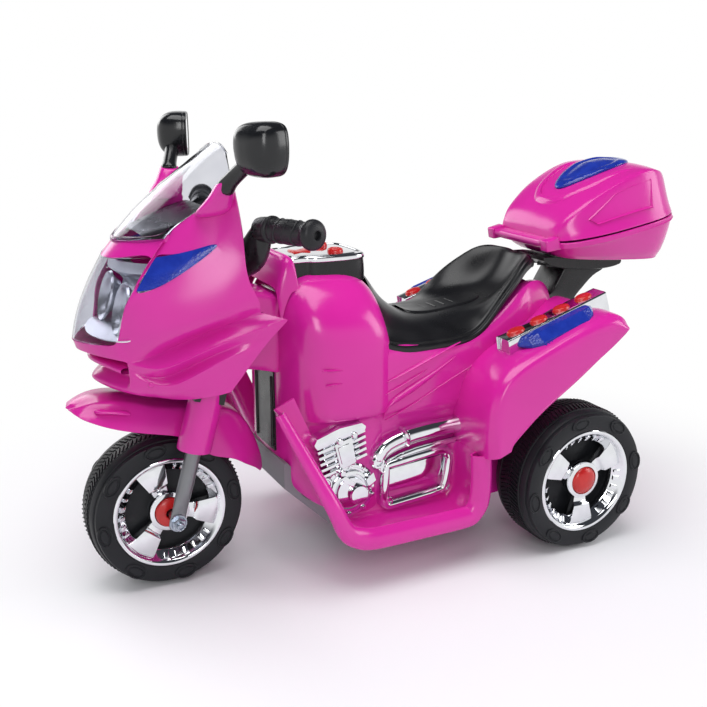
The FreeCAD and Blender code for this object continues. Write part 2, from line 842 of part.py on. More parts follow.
mudguard_skin = free_form("mudguard_skin", Part.makeLoft(
    [mudguard_section(station, float(size.mudguard_wall)) for station in MUDGUARD_STATIONS], True, False,
))
sleeve_length = size.crown_low - size.sleeve_low
sleeve = rod("sleeve", size.sleeve_radius, sleeve_length, (0, size.leg_spread, size.sleeve_low), "z")
sleeve_bore = rod("sleeve_bore", size.leg_radius + size.seat_clearance, crown_high, (0, size.leg_spread, 0), "z")
sleeves = framed("sleeves", both_sides("sleeve_pair", sleeve), "fork")
sleeve_bores = framed("sleeve_bores", both_sides("sleeve_bore_pair", sleeve_bore), "fork")
node("front_mudguard", cut("mudguard_drilled", fuse("mudguard_whole", mudguard_skin, sleeves), sleeve_bores))

# Body: a rounded tank column and a lower rear trunk, moulded as one hollow skin in two halves
wall = float(size.body_wall)


def rounded_section(x, low, high, half, low_radius, high_radius, shrink):
    """Upright outline across the body: flat sides joined by four arcs."""
    low = low + shrink
    high = high - shrink
    half = half - shrink
    low_radius = low_radius - shrink
    high_radius = high_radius - shrink
    diagonal = math.sqrt(0.5)
    corners = (
        (half - low_radius, low + low_radius, low_radius, -1),
        (half - high_radius, high - high_radius, high_radius, 1),
    )
    arcs = []
    for y, z, radius, up in corners:
        ends = [Vector(x, y, z + up * radius), Vector(x, y + radius, z)]
        middle = Vector(x, y + radius * diagonal, z + up * radius * diagonal)
        arcs.append(Part.Arc(ends[0], middle, ends[1]) if up < 0 else Part.Arc(ends[1], middle, ends[0]))
    flips = []
    for arc in reversed(arcs):
        points = [Vector(point.x, -point.y, point.z) for point in (arc.EndPoint, arc.StartPoint)]
        middle_point = arc.value((arc.FirstParameter + arc.LastParameter) / 2)
        flips.append(Part.Arc(points[0], Vector(middle_point.x, -middle_point.y, middle_point.z), points[1]))
    edges = []
    ring = arcs + flips
    for index, arc in enumerate(ring):
        edges.append(arc.toShape())
        edges.append(Part.LineSegment(arc.EndPoint, ring[(index + 1) % len(ring)].StartPoint).toShape())
    return Part.Wire(edges)


def body_loft(name, stations, shrink, ruled):
    """Loft through stations, drawn in by a wall all round and at both ends."""
    wires = []
    last = len(stations) - 1
    for index, (x, *section) in enumerate(stations):
        end_shift = {0: -shrink, last: shrink}.get(index, 0)
        wires.append(rounded_section(x + end_shift, *section, shrink))
    return free_form(name, Part.makeLoft(wires, True, ruled))


tank_half = float(size.tank_half_width)
tank_high = float(size.tank_height)
belly = -float(size.belly_drop)
tank_nose = front_x - float(size.tank_front)
rear_x = float(rear_axle_x)
deck = float(size.deck_height)
body_half = float(size.body_half_width)
tail_half = float(size.tail_half_width)
tail_high = float(size.tail_height)
# x, low, high, half-width, lower corner radius, upper corner radius
TANK_STATIONS = (
    (tank_nose, 25, tank_high - 34, tank_half - 55, 24, 34),
    (tank_nose - 12, 8, tank_high - 16, tank_half - 24, 28, 55),
    (tank_nose - 34, -10, tank_high - 3, tank_half - 6, 28, 75),
    (tank_nose - 64, -20, tank_high, tank_half, 28, 84),
    (tank_nose - 98, -26, tank_high - 8, tank_half - 2, 28, 84),
    (tank_nose - 128, -30, tank_high - 28, tank_half - 8, 28, 78),
)
TRUNK_STATIONS = (
    (tank_nose - 70, belly, deck - 28, body_half + 3, 20, 18),
    (tank_nose - 130, belly, deck - 2, body_half, 20, 18),
    (rear_x + 116, belly, deck, body_half, 20, 20),
    (rear_x + 61, belly, deck + 12, tail_half + 24, 20, 22),
    (rear_x + 6, belly, tail_high, tail_half + 8, 18, 24),
    (rear_x - 36, belly, tail_high - 10, tail_half - 8, 16, 24),
    (rear_x - 52, belly + 13, tail_high - 26, tail_half - 18, 14, 20),
)
body_solid = fuse(
    "body_solid",
    body_loft("tank_solid", TANK_STATIONS, 0, False),
    body_loft("trunk_solid", TRUNK_STATIONS, 0, True),
)
body_hollow = fuse(
    "body_hollow",
    body_loft("tank_hollow", TANK_STATIONS, wall, False),
    body_loft("trunk_hollow", TRUNK_STATIONS, wall, True),
)

# Steering neck from the tank to the bushes, in side view
lean_x = sine(size.rake)
lean_z = cosine(size.rake)


def on_axis(height, ahead):
    """Point in side view at a height along the steering axis and a distance ahead of it."""
    return (front_axle_x - height * lean_x + ahead * lean_z, height * lean_z + ahead * lean_x)


neck_root = front_axle_x - size.tank_front - 24
neck = side_pad("neck", (
    on_axis(size.neck_low, size.neck_front),
    on_axis(size.neck_high, size.neck_front),
    on_axis(size.neck_high, -size.neck_front),
    (neck_root, size.tank_height - 20),
    (neck_root, size.neck_low * lean_z - 4),
    on_axis(size.neck_low, -size.neck_front),
), -size.neck_half_width, size.neck_half_width)
neck_bore = framed("neck_bore", rod("neck_hole", bush_radius, size.neck_high * 2, (0, 0, 0), "z"), "fork")

# Foot trays with leg shields, one along each side, in side view from the shield down and back along the floor
tray_floor = -size.tray_drop
tray_front = front_axle_x - size.tank_front - 30
tray_back = rear_axle_x + 136
TRAY_FRONT_BEND = ((11, 46), (2, 26), (-8, 12), (-23, 4), (-45, 0))
TRAY_BACK_BEND = ((22, 0), (8, 4), (0, 14), (-3, 30))
TRAY_INNER = 60
tray_path = [(front_axle_x - size.tank_front + 16, size.shield_height)]
tray_path += [(tray_front + x, tray_floor + z) for x, z in TRAY_FRONT_BEND]
tray_path += [(tray_back + x, tray_floor + z) for x, z in TRAY_BACK_BEND]
tray_path += [(tray_back - 3, tray_floor + size.tray_upstand)]


def beside(path, distance):
    """Path moved sideways, outwards from the well it goes round."""
    moved = []
    for index, (x, z) in enumerate(path):
        before = path[max(index - 1, 0)]
        after = path[min(index + 1, len(path) - 1)]
        along = Vector(float(after[0] - before[0]), 0, float(after[1] - before[1])).normalize()
        moved.append((x - along.z * distance, z + along.x * distance))
    return moved


def tray_band(name, inside, outside):
    """Band along the tray's path between two distances from it, across the whole width of the tray."""
    profile = beside(tray_path, inside) + beside(tray_path, outside)[::-1]
    return side_pad(name, profile, TRAY_INNER, size.tray_half_width)


# The tray narrows up the shield, and its rolled rim follows that edge
taper_low = 20
taper_high = size.shield_height + 20
tray_x_span = 400
far_below = -100


def edge_strip(name, inner, outer):
    """Upright strip along the tray's outer edge, between two distances in from it."""
    return place(pad(name, "YZ_Plane", (
        (size.tray_half_width - inner, far_below),
        (size.tray_half_width - outer, far_below),
        (size.tray_half_width - outer, taper_low),
        (size.shield_half_width - outer, taper_high),
        (size.shield_half_width - inner, taper_high),
        (size.tray_half_width - inner, taper_low),
    ), tray_x_span), (-tray_x_span / 2, 0, 0))


rim_low = size.tray_wall + size.tray_rim_drop
rim_wall = size.tray_wall / 2
tray_rim = common(
    "tray_rim",
    tray_band("rim_band", -size.tray_lip, rim_low),
    edge_strip("rim_strip", size.tray_rim_width, 0),
)
rim_groove = common(
    "rim_groove",
    tray_band("groove_band", rim_wall - size.tray_lip, rim_low + 1),
    edge_strip("groove_strip", size.tray_rim_width - rim_wall, rim_wall),
)
shield_taper = edge_strip("shield_taper", 0, -60)
tray_whole = fuse("left_tray_whole", tray_band("tray_sheet", 0, size.tray_wall), tray_rim)
left_tray = cut("left_tray", tray_whole, rim_groove, shield_taper, body_hollow)

# Openings in the skin: axle tube, drive sleeve, charge socket and screws from below
tube_radius = size.axle_radius + size.sleeve_wall
axle_hole = rod("axle_hole", tube_radius, size.tray_half_width, (rear_axle_x, 0, 0))
sleeve_hole = rod(
    "sleeve_hole", tube_radius + 1, size.tray_half_width, (rear_axle_x, -size.tray_half_width, 0),
)
socket_x = rear_axle_x + size.socket_ahead
SOCKET_HEIGHT = 110
socket_hole = rod("socket_hole", size.socket_radius, 40, (socket_x, -body_half - 10, SOCKET_HEIGHT))
floor_low = -size.belly_drop
pan_low = floor_low - size.belly_pan_thickness
screw_seat = pan_low + size.screw_head_height
screw_spots = [(x, y) for x in (rear_axle_x + 80, rear_axle_x + 175, rear_axle_x + 265) for y in (-40, 40)]
screw_list = []
screw_hole_list = []
for number, (x, y) in enumerate(screw_spots):
    head = rod(f"screw_head_{number}", size.screw_head_radius, size.screw_head_height, (x, y, pan_low), "z")
    shank = rod(f"screw_shank_{number}", size.screw_radius, size.screw_reach, (x, y, screw_seat), "z")
    sink = rod(f"screw_sink_{number}", size.screw_head_radius + size.seat_clearance, size.screw_head_height,
               (x, y, pan_low), "z")
    screw_hole_list += [shank, sink]
    screw_list.append(fuse(f"screw_{number}", head, shank))
screw_holes = group("screw_holes", *screw_hole_list)

body_skin = cut("body_skin", fuse("body_necked", body_solid, neck), body_hollow, neck_bore, screw_holes)
half_span = 500
left_side = block("left_side", (-half_span, 0, -half_span), (half_span, half_span, half_span))
right_side = block("right_side", (-half_span, -half_span, -half_span), (half_span, 0, half_span))
left_half = cut("left_half", common("left_skin", body_skin, left_side), axle_hole)
right_half = cut("right_half", common("right_skin", body_skin, right_side), sleeve_hole, socket_hole)
node("body_left", fuse("body_left_whole", left_half, left_tray))
node("body_right", fuse("body_right_whole", right_half, mirrored("right_tray", left_tray)))

# Panels on the body: black front, grey belly pan held by screws
panel_half = size.front_panel_half_width
panel_back = front_axle_x - size.tank_front
panel_front = panel_back + size.front_panel_thickness
node("front_panel", block("front_panel_block", (panel_back, -panel_half, 52), (panel_front, panel_half, 148)))
pan_back = rear_axle_x + 40
pan_half = size.belly_pan_half_width
pan_outline = (
    (panel_back, 46),
    (panel_front, 46),
    (panel_front, 14),
    (panel_back - 52, pan_low),
    (pan_back, pan_low),
    (pan_back, floor_low + 1),
    (panel_back - 60, floor_low + 12),
    (panel_back - 20, 20),
)
pan_rough = cut("pan_rough", side_pad("pan_sheet", pan_outline, -pan_half, pan_half), body_solid, screw_holes)
node("belly_pan", main_solid("pan_main", pan_rough))
node("body_screws", group("screw_set", *screw_list))

# Seat: padded shell over the deck with a raised rim at the back
seat_half = float(size.seat_half_width)
seat_high = float(size.seat_back_height)
seat_low = deck - 12
SEAT_STATIONS = (
    (tank_nose - 124, seat_low, tank_high - 20, seat_half - 56, 2, 20),
    (tank_nose - 138, seat_low, tank_high - 38, seat_half - 28, 2, 24),
    (tank_nose - 160, seat_low, deck + 26, seat_half - 6, 2, 24),
    (rear_x + 131, seat_low, deck + 19, seat_half, 2, 24),
    (rear_x + 81, seat_low, deck + 31, seat_half - 2, 2, 24),
    (rear_x + 51, seat_low, seat_high - 26, seat_half - 6, 2, 22),
    (rear_x + 24, seat_low, seat_high, seat_half - 18, 2, 20),
    (rear_x - 2, seat_low, seat_high - 8, seat_half - 38, 2, 18),
    (rear_x - 14, seat_low, seat_high - 20, seat_half - 60, 2, 16),
)
SCOOP_STATIONS = (
    (rear_x + 104, deck + 24, seat_high + 60, seat_half - 24, 12, 10),
    (rear_x + 81, deck + 27, seat_high + 60, seat_half - 22, 14, 10),
    (rear_x + 51, deck + 35, seat_high + 60, seat_half - 24, 16, 10),
    (rear_x + 28, deck + 46, seat_high + 60, seat_half - 34, 16, 10),
    (rear_x + 8, deck + 64, seat_high + 60, seat_half - 52, 14, 10),
)
seat_solid = body_loft("seat_solid", SEAT_STATIONS, 0, True)
scoop = body_loft("seat_scoop", SCOOP_STATIONS, 0, True)
node("seat", main_solid("seat_main", cut("seat_rough", seat_solid, scoop, body_solid)))

# Dash on the tank: black base, plated top with two push buttons and a rocker switch
dash_front = front_axle_x - size.tank_front - 12
dash_back = dash_front - size.dash_length
dash_outline = (
    (dash_front, -size.dash_half_width / 2), (dash_front - 16, -size.dash_half_width),
    (dash_back + 14, -size.dash_half_width), (dash_back, -size.dash_half_width / 2),
    (dash_back, size.dash_half_width / 2), (dash_back + 14, size.dash_half_width),
    (dash_front - 16, size.dash_half_width), (dash_front, size.dash_half_width / 2),
)
dash_top = dash_height + size.dash_plate
button_seat = dash_height - size.button_travel
button_x = dash_back + 34
rocker_x = dash_back + 70
BUTTON_Y = 22
button_hole = size.button_radius + size.seat_clearance
button_well = rod("button_well", button_hole, 40, (button_x, BUTTON_Y, button_seat - size.button_travel), "z")
button_wells = both_sides("button_wells", button_well)
rocker_half = size.rocker_length / 2 + 1
rocker_side = size.rocker_width / 2 + size.seat_clearance
rocker_depth = 10
DASH_SKIRT = 45
rocker_well = block(
    "rocker_well", (rocker_x - rocker_half, -rocker_side, dash_top - rocker_depth),
    (rocker_x + rocker_half, rocker_side, dash_top + rocker_depth),
)
dash_block = plan_pad("dash_block", dash_outline, size.tank_height - DASH_SKIRT, dash_height)
dash_rough = cut("dash_rough", dash_block, body_solid, button_wells, rocker_well)
node("dash_base", main_solid("dash_main", dash_rough))
dash_plate = plan_pad("dash_plate_sheet", dash_outline, dash_height, dash_top)
rocker_pin_y = rocker_side + 4
rocker_z = dash_top - 3
rocker_pin = rod("rocker_pin", 1.2, 2 * rocker_pin_y, (rocker_x, -rocker_pin_y, rocker_z))
node("dash_panel", cut("dash_panel_plate", dash_plate, button_wells, rocker_well, rocker_pin))
for label, y in (("horn_button", BUTTON_Y), ("music_button", -BUTTON_Y)):
    cap = rod(f"{label}_cap", size.button_radius, size.button_height + size.dash_plate,
              (button_x, y, button_seat + size.button_travel), "z")
    node(label, cap)

rocker_arm = size.rocker_length / 2
rocker_body = side_pad("rocker_body", (
    (rocker_x - rocker_arm, rocker_z + 5), (rocker_x - rocker_arm, rocker_z - 1), (rocker_x, rocker_z - 4),
    (rocker_x + rocker_arm, rocker_z - 1), (rocker_x + rocker_arm, rocker_z + 5), (rocker_x, rocker_z + 3),
), -size.rocker_width / 2, size.rocker_width / 2)
rocker_axle = rod("rocker_axle", 1.2 - size.running_clearance, 2 * rocker_pin_y - 1,
                  (rocker_x, 0.5 - rocker_pin_y, rocker_z))
node("drive_switch", fuse("rocker", rocker_body, rocker_axle))

# Rear mudguards, in side view from the rear axle: upper line front to back, then lower line back to front
GUARD_UPPER = ((134, 48), (138, 85), (131, 120), (113, 147), (69, 173), (6, 197), (-44, 202), (-71, 193))
GUARD_LOWER = ((-56, 178), (-27, 160), (43, 115), (106, 60))
guard_x = stretch([x for x, z in GUARD_UPPER], size.guard_reach)
guard_z = stretch([z for x, z in GUARD_UPPER], size.guard_height)


def guard_points(corners, shift=0):
    return [Vector(rear_x + x * guard_x, 0, z * guard_z - shift) for x, z in corners]


def prism_y(points, low, high):
    face = Part.Face(closed_wire([Vector(point.x, low, point.z) for point in points]))
    return face.extrude(Vector(0, high - low, 0))


GUARD_INNER = 46
guard_half = float(size.guard_half_width)
guard_wall = float(size.guard_wall)
guard_block = prism_y(guard_points(GUARD_UPPER) + guard_points(GUARD_LOWER), GUARD_INNER, guard_half)
outer_edges = [edge for edge in guard_block.Edges if edge.BoundBox.YMin > guard_half - 0.01]
guard_block = guard_block.makeFillet(float(size.guard_rounding), outer_edges)
guard_solid = free_form("guard_solid", guard_block)
upper_path = [Vector(point.x, point.z, 0) for point in guard_points(GUARD_UPPER)]
inner_path = [Vector(point.x, 0, point.y) for point in inset(upper_path, guard_wall)]
guard_hollow = free_form("guard_hollow", prism_y(
    inner_path[:-1] + guard_points(GUARD_LOWER, 40), GUARD_INNER - 20, guard_half - guard_wall,
))
guard_skin = cut("guard_skin", guard_solid, guard_hollow, body_solid, seat_solid)
guard_left = main_solid("guard_left", guard_skin)
node("rear_mudguard_left", guard_left)
node("rear_mudguard_right", mirrored("guard_right", guard_left))

# Plated trim on each side: finned engine block, and exhaust over a frame loop
trim_low = body_half - 14
trim_high = size.trim_half_width


def trim(name, corners, low_y=trim_low, high_y=trim_high):
    return side_pad(name, [(front_axle_x - back, z) for back, z in corners], low_y, high_y)


ENGINE_BARREL = ((150, 90), (212, 97), (214, 52), (150, 42))
ENGINE_CASE = ((150, 44), (229, 36), (226, -4), (190, -19), (158, 6))
EXHAUST_PIPE = ((230, 52), (262, 70), (346, 75), (348, 56), (266, 52), (234, 34))
FRAME_LOOP = ((242, 29), (243, -16), (326, -14), (332, 31))
FRAME_WINDOW = ((252, 20), (253, -7), (318, -6), (322, 21))
engine_barrel = trim("engine_barrel", ENGINE_BARREL)
engine_case = trim("engine_case", ENGINE_CASE, trim_low, trim_high + 4)
engine = fuse("engine_solid", engine_barrel, engine_case)
engine_left = main_solid("engine_left", cut("engine_rough", engine, body_solid))
node("engine_trims", both_sides("engine_pair", engine_left))
pipe_rough = cut("pipe_rough", trim("exhaust_pipe", EXHAUST_PIPE), body_solid, guard_solid)
pipe_left = main_solid("pipe_left", pipe_rough)
loop_window = trim("frame_window", FRAME_WINDOW, 0, trim_high + 20)
loop_ring = cut("loop_ring", trim("frame_loop", FRAME_LOOP), loop_window)
loop_left = main_solid("loop_left", cut("loop_rough", loop_ring, body_solid, guard_solid))
node("exhaust_trims", both_sides("exhaust_pair", group("exhaust_left", pipe_left, loop_left)))

# Light bar on each mudguard, along its slope, with a side lens and four round lamps
bar_half = size.light_bar_width / 2
LIGHT_BAR_START = (92, 160)


def on_slope(name, thing):
    start_x = rear_axle_x + LIGHT_BAR_START[0]
    at = (start_x, size.light_bar_y, LIGHT_BAR_START[1])
    return place(group(name, thing), at, Y_AXIS, size.light_bar_slope)


bar_block = block(
    "light_bar_block", (-size.light_bar_length, -bar_half, 0), (0, bar_half, size.light_bar_height),
)
bar_rough = cut("light_bar_rough", on_slope("light_bar_at", bar_block), guard_solid)
light_bar = main_solid("light_bar_left", bar_rough)
node("light_bars", both_sides("light_bar_pair", light_bar))
lens_low = size.light_bar_height - size.side_lens_height - 2
lens_block = block(
    "side_lens_block", (-size.light_bar_length + 24, bar_half, lens_low),
    (-18, bar_half + size.lens_width, lens_low + size.side_lens_height),
)
side_lens_rough = cut("side_lens_rough", on_slope("side_lens_at", lens_block), guard_solid)
side_lens = main_solid("side_lens_left", side_lens_rough)
node("side_lenses", both_sides("side_lens_pair", side_lens))
LAMPS_PER_BAR = 4
LAMP_RISE = 4
lamp_pitch = size.light_bar_length / (LAMPS_PER_BAR + 1)
lamp_discs = [
    rod(f"lamp_{number}", size.lamp_disc_radius, LAMP_RISE, (-lamp_pitch * number, 0, size.light_bar_height), "z")
    for number in range(1, LAMPS_PER_BAR + 1)
]
node("bar_lamps", both_sides("bar_lamp_pair", on_slope("bar_lamps_at", group("lamp_discs", *lamp_discs))))

# Top box: outlines front to back on the left, in the hinge's frame, with x towards the front
BOX_RIM = ((-10, 22), (-12, 57), (-24, 77), (-66, 92), (-150, 94), (-190, 81), (-210, 36))
BOX_FLOOR = ((-29, 17), (-31, 45), (-44, 60), (-90, 71), (-150, 71), (-172, 56), (-182, 22))
LID_MIDDLE = ((-25, 19), (-27, 51), (-39, 72), (-76, 87), (-150, 88), (-188, 72), (-203, 30))
LID_SHOULDER = ((-64, 16), (-66, 43), (-75, 62), (-97, 76), (-150, 78), (-176, 61), (-187, 24))
LID_TOP = ((-112, 9), (-114, 24), (-120, 37), (-131, 47), (-150, 50), (-164, 39), (-170, 14))
box_along = stretch([x for x, y in BOX_RIM], size.box_length)
box_across = stretch([y for x, y in BOX_RIM], size.box_half_width)
FLOOR_FRONT_SHARE = 0.42
# outlines start on the left side, so that their seam is clear of the hinge
SEAM_POINT = 3


def box_wire(outline, height_at, shrink):
    """Smooth closed outline, drawn in by a wall towards its middle."""
    half = [Vector(x * box_along, y * box_across, 0) for x, y in outline]
    ring = half + [Vector(point.x, -point.y, 0) for point in reversed(half)]
    ring = ring[SEAM_POINT:] + ring[:SEAM_POINT]
    middle = sum((point.x for point in ring), 0.0) / len(ring)
    longest = max(abs(point.x - middle) for point in ring)
    widest = max(abs(point.y) for point in ring)
    points = []
    for point in ring:
        x = middle + (point.x - middle) * (longest - shrink) / longest
        y = point.y * (widest - shrink) / widest
        points.append(Vector(x, y, height_at(x)))
    curve = Part.BSplineCurve()
    curve.interpolate(points, PeriodicFlag=True)
    return Part.Wire(curve.toShape())


def flat(height):
    return lambda x: height


box_depth = float(size.box_depth)
box_wall = float(size.box_wall)
lid_high = float(size.lid_height)


def floor_height(lift):
    """The floor stays level while the rim leans, so it drops towards the rear of the frame."""
    front = -FLOOR_FRONT_SHARE * box_depth
    floor_front = BOX_FLOOR[0][0]
    fall = (box_depth + front) / (floor_front - BOX_FLOOR[-1][0])
    return lambda x: front + (x / box_along - floor_front) * fall + lift


def box_base_loft(name, shrink, lift, top):
    wires = [box_wire(BOX_FLOOR, floor_height(lift), shrink), box_wire(BOX_RIM, flat(top), shrink)]
    return free_form(name, Part.makeLoft(wires, True, True))


def lid_loft(name, shrink, low):
    wires = [box_wire(BOX_RIM, flat(low), shrink)]
    for outline, share in ((LID_MIDDLE, 0.42), (LID_SHOULDER, 0.8), (LID_TOP, 1)):
        wires.append(box_wire(outline, flat(share * lid_high - shrink), shrink))
    return free_form(name, Part.makeLoft(wires, True, False))


box_gap = float(size.seat_clearance)
box_solid = box_base_loft("box_solid", 0, 0, 0)
box_hollow = box_base_loft("box_hollow", box_wall, box_wall, 1)
hinge_end = size.hinge_half_width + size.seat_clearance
ear_end = hinge_end + size.hinge_ear
EAR_ARM = 40
ear = fuse(
    "ear_solid",
    rod("ear_eye", size.hinge_radius, size.hinge_ear, (0, hinge_end, 0)),
    block("ear_arm", (-EAR_ARM, hinge_end, -size.hinge_radius), (0, ear_end, -box_gap)),
)
ear_pair = both_sides("ear_pair", cut("ear", ear, box_hollow))
lid_barrel_hole = rod("lid_barrel_hole", size.hinge_radius + size.seat_clearance * 2, 2 * size.hinge_half_width,
                      (0, -size.hinge_half_width, 0))
base_shell = cut("box_base_shell", box_solid, box_hollow, lid_barrel_hole)
pin_length = 2 * ear_end
hinge_pin = rod("hinge_pin", size.hinge_pin_radius, pin_length, (0, -ear_end, 0))
node("box_base", fuse("box_base_whole", base_shell, ear_pair, hinge_pin), "box")

lid_solid = lid_loft("lid_solid", 0, box_gap)
lid_hollow = lid_loft("lid_hollow", box_wall, 0)
barrel_half = size.hinge_half_width
barrel = rod("lid_barrel", size.hinge_radius, 2 * barrel_half, (0, -barrel_half, 0))
tongue = block("lid_tongue", (-42, -barrel_half, box_gap), (0, barrel_half, size.hinge_radius))
pin_bore = size.hinge_pin_radius + size.running_clearance
barrel_bore = rod("lid_barrel_bore", pin_bore, 2 * barrel_half, (0, -barrel_half, 0))
ear_clear = rod(
    "ear_clear", size.hinge_radius + 1, size.hinge_ear + 2, (0, hinge_end - size.seat_clearance, 0),
)
ear_room = both_sides("ear_room", ear_clear)
lid_arm = cut("lid_arm", fuse("lid_arm_whole", barrel, tongue), barrel_bore, lid_hollow)
pin_room = rod("lid_pin_room", size.hinge_pin_radius + size.seat_clearance, pin_length, (0, -ear_end, 0))
lid_shell = cut("lid_shell", lid_solid, lid_hollow, ear_room, pin_room)
node("box_lid", fuse("box_lid_whole", lid_shell, lid_arm), "box")

# Blue lens on the sloping front of the lid
LENS_OUTLINE = ((-64, 9), (-80, 25), (-108, 34), (-142, 27), (-164, 9))
LENS_THICKNESS = 2
lens_half = [(x * box_along, y * box_across) for x, y in LENS_OUTLINE]
lens_ring = lens_half + [(x, -y) for x, y in reversed(lens_half)]
lens_prism = plan_pad("lens_prism", lens_ring, 0.3 * size.lid_height, 2 * size.lid_height)
lens_skin = cut("lens_skin", lid_loft("lens_outer", -LENS_THICKNESS, box_gap), lid_solid)
node("lid_lens", main_solid("lens_main", common("lens_patch", lens_skin, lens_prism)), "box")

# Box bracket: plate under the box and a post down to the tail, in side view from the rear axle
BRACKET_TOP = ((-76, -34), (-126, -34))
BRACKET_FOOT = ((-70, -46), (-30, -46))
bracket_corners = [(rear_axle_x + x, box_hinge_height + z) for x, z in BRACKET_TOP]
bracket_corners += [(rear_axle_x + x, size.tail_height + z) for x, z in BRACKET_FOOT]
post = side_pad("bracket_post", bracket_corners, -size.bracket_half_width, size.bracket_half_width)
box_seat = framed("box_seat", box_solid, "box")
plate_half = size.bracket_half_width + 8
bracket_slab = block(
    "bracket_slab", (rear_axle_x - 150, -plate_half, box_hinge_height - 45),
    (rear_axle_x - 30, plate_half, box_hinge_height - 20),
)
bracket_rough = cut("bracket_rough", fuse("bracket_whole", post, bracket_slab), box_seat, body_solid)
node("box_bracket", main_solid("bracket_main", bracket_rough))

# Drive: gear with a sleeve to the right wheel, pinion on the motor, and their case
module = float(size.gear_module)


def gear_face(teeth, turn):
    """Involute gear outline in the XZ plane, thinned by the backlash."""
    pressure = math.radians(20)
    pitch = module * teeth / 2
    base = pitch * math.cos(pressure)
    tip = pitch + module
    root = pitch - 1.25 * module
    half_tooth = math.pi / 2 / teeth - float(size.tooth_backlash) / 2 / pitch
    start = max(base, root)
    radii = [start + (tip - start) * share for share in (0, 0.35, 0.7, 1)]

    def involute(radius):
        angle = math.acos(base / radius)
        return math.tan(angle) - angle

    flank = [(radius, half_tooth + involute(pitch) - involute(radius)) for radius in radii]
    flank.insert(0, (root, flank[0][1]))
    points = []
    for tooth in range(teeth):
        middle = 2 * math.pi * tooth / teeth + math.radians(turn)
        for radius, angle in flank:
            points.append(Vector(radius * math.cos(middle - angle), 0, radius * math.sin(middle - angle)))
        for radius, angle in reversed(flank):
            points.append(Vector(radius * math.cos(middle + angle), 0, radius * math.sin(middle + angle)))
    return Part.Face(closed_wire(points))


gear_teeth = int(float(size.gear_teeth))
pinion_teeth = int(float(size.pinion_teeth))
gear_width = float(size.gear_width)
gear_outer = -float(size.gear_y) - gear_width
motor_x = rear_axle_x + size.gear_module * (size.gear_teeth + size.pinion_teeth) / 2


def gear_blank(name, teeth, turn, x):
    shape = gear_face(teeth, turn).extrude(Vector(0, gear_width, 0))
    shape.translate(Vector(float(x), gear_outer, 0))
    return free_form(name, shape)


drive_length = wheel_inner_y - size.gear_y
drive_sleeve = rod("drive_sleeve", tube_radius, drive_length, (rear_axle_x, -wheel_inner_y, 0))
drive_bore = rod(
    "drive_bore", size.axle_radius + size.running_clearance, 2 * drive_length, (rear_axle_x, -2 * drive_length, 0),
)
gear = fuse("drive_gear_whole", gear_blank("gear_blank", gear_teeth, 0, rear_axle_x), drive_sleeve)
node("drive_gear", cut("drive_gear_bored", gear, drive_bore))
shaft_low = -size.gear_y - size.gear_width
pinion_hole = rod("pinion_hole", size.shaft_radius + size.running_clearance, size.gear_width, (motor_x, shaft_low, 0))
pinion_turn = 180 + 180 / pinion_teeth
pinion = cut("pinion", gear_blank("pinion_blank", pinion_teeth, pinion_turn, motor_x), pinion_hole)
node("motor_pinion", pinion)

gear_reach = size.gear_module * (size.gear_teeth + 2) / 2
pinion_reach = size.gear_module * (size.pinion_teeth + 2) / 2
case_room = 2
floor_inside = size.body_wall - size.belly_drop
case_low = (
    rear_axle_x - gear_reach - case_room,
    -size.gear_y - size.gear_width - case_room,
    -gear_reach - case_room,
)
case_high = (motor_x + pinion_reach + case_room, case_room - size.gear_y, gear_reach + case_room)
case_inner = block("case_inner", case_low, case_high)
case_outer = block(
    "case_outer",
    (case_low[0] - size.case_wall, case_low[1] - size.case_wall, floor_inside),
    [value + size.case_wall for value in case_high],
)
case_span = 3 * size.gear_width + 4 * case_room
case_start = -size.gear_y - 2 * size.gear_width - 2 * case_room
case_sleeve_hole = rod("case_sleeve_hole", tube_radius + size.running_clearance, size.gear_width + 2 * case_room,
                       (rear_axle_x, case_start, 0))
case_axle_hole = rod("case_axle_hole", size.axle_radius, case_span, (rear_axle_x, case_start, 0))
case_shaft_hole = rod("case_shaft_hole", size.shaft_radius + 1, case_span, (motor_x, case_start, 0))
tube_start = case_room + size.case_wall - size.gear_y
axle_tube = tube(
    "axle_tube", tube_radius, size.axle_radius, wheel_inner_y - size.seat_clearance - tube_start,
    (rear_axle_x, tube_start, 0),
)
case_shell = cut("case_shell", case_outer, case_inner, case_axle_hole, case_sleeve_hole, case_shaft_hole)
node("gearbox_case", fuse("gearbox_whole", case_shell, axle_tube))

motor_face = case_room - size.gear_y + size.case_wall
motor_can = rod("motor_can", size.motor_radius, size.motor_length, (motor_x, motor_face, 0))
motor_shaft = rod("motor_shaft", size.shaft_radius, motor_face - shaft_low, (motor_x, shaft_low, 0))
node("motor", fuse("motor_whole", motor_can, motor_shaft))


# Battery on the floor of the body with the control board on it, speaker behind the front wall
battery_low = (rear_axle_x + 88, -size.battery_width / 2, floor_inside)
battery_top = floor_inside + size.battery_height
node("battery", block(
    "battery_block", battery_low,
    (battery_low[0] + size.battery_length, size.battery_width / 2, battery_top),
))
node("control_board", block(
    "board_block", (battery_low[0] + 4, 4 - size.battery_width / 2, battery_top),
    (battery_low[0] + size.battery_length - 4, size.battery_width / 2 - 4, battery_top + size.board_height),
))
speaker_face = front_axle_x - size.tank_front - size.body_wall
SPEAKER_HEIGHT = 120
speaker_cone = rod("speaker_cone", size.speaker_radius, size.speaker_depth / 2,
                   (speaker_face - size.speaker_depth / 2, 0, SPEAKER_HEIGHT), "x")
speaker_magnet = rod("speaker_magnet", size.speaker_radius / 2, size.speaker_depth / 2,
                     (speaker_face - size.speaker_depth, 0, SPEAKER_HEIGHT), "x")
node("speaker", fuse("speaker_whole", speaker_cone, speaker_magnet))
socket_flange = rod("socket_flange", size.socket_flange, 14, (socket_x, -body_half - 2, SOCKET_HEIGHT))
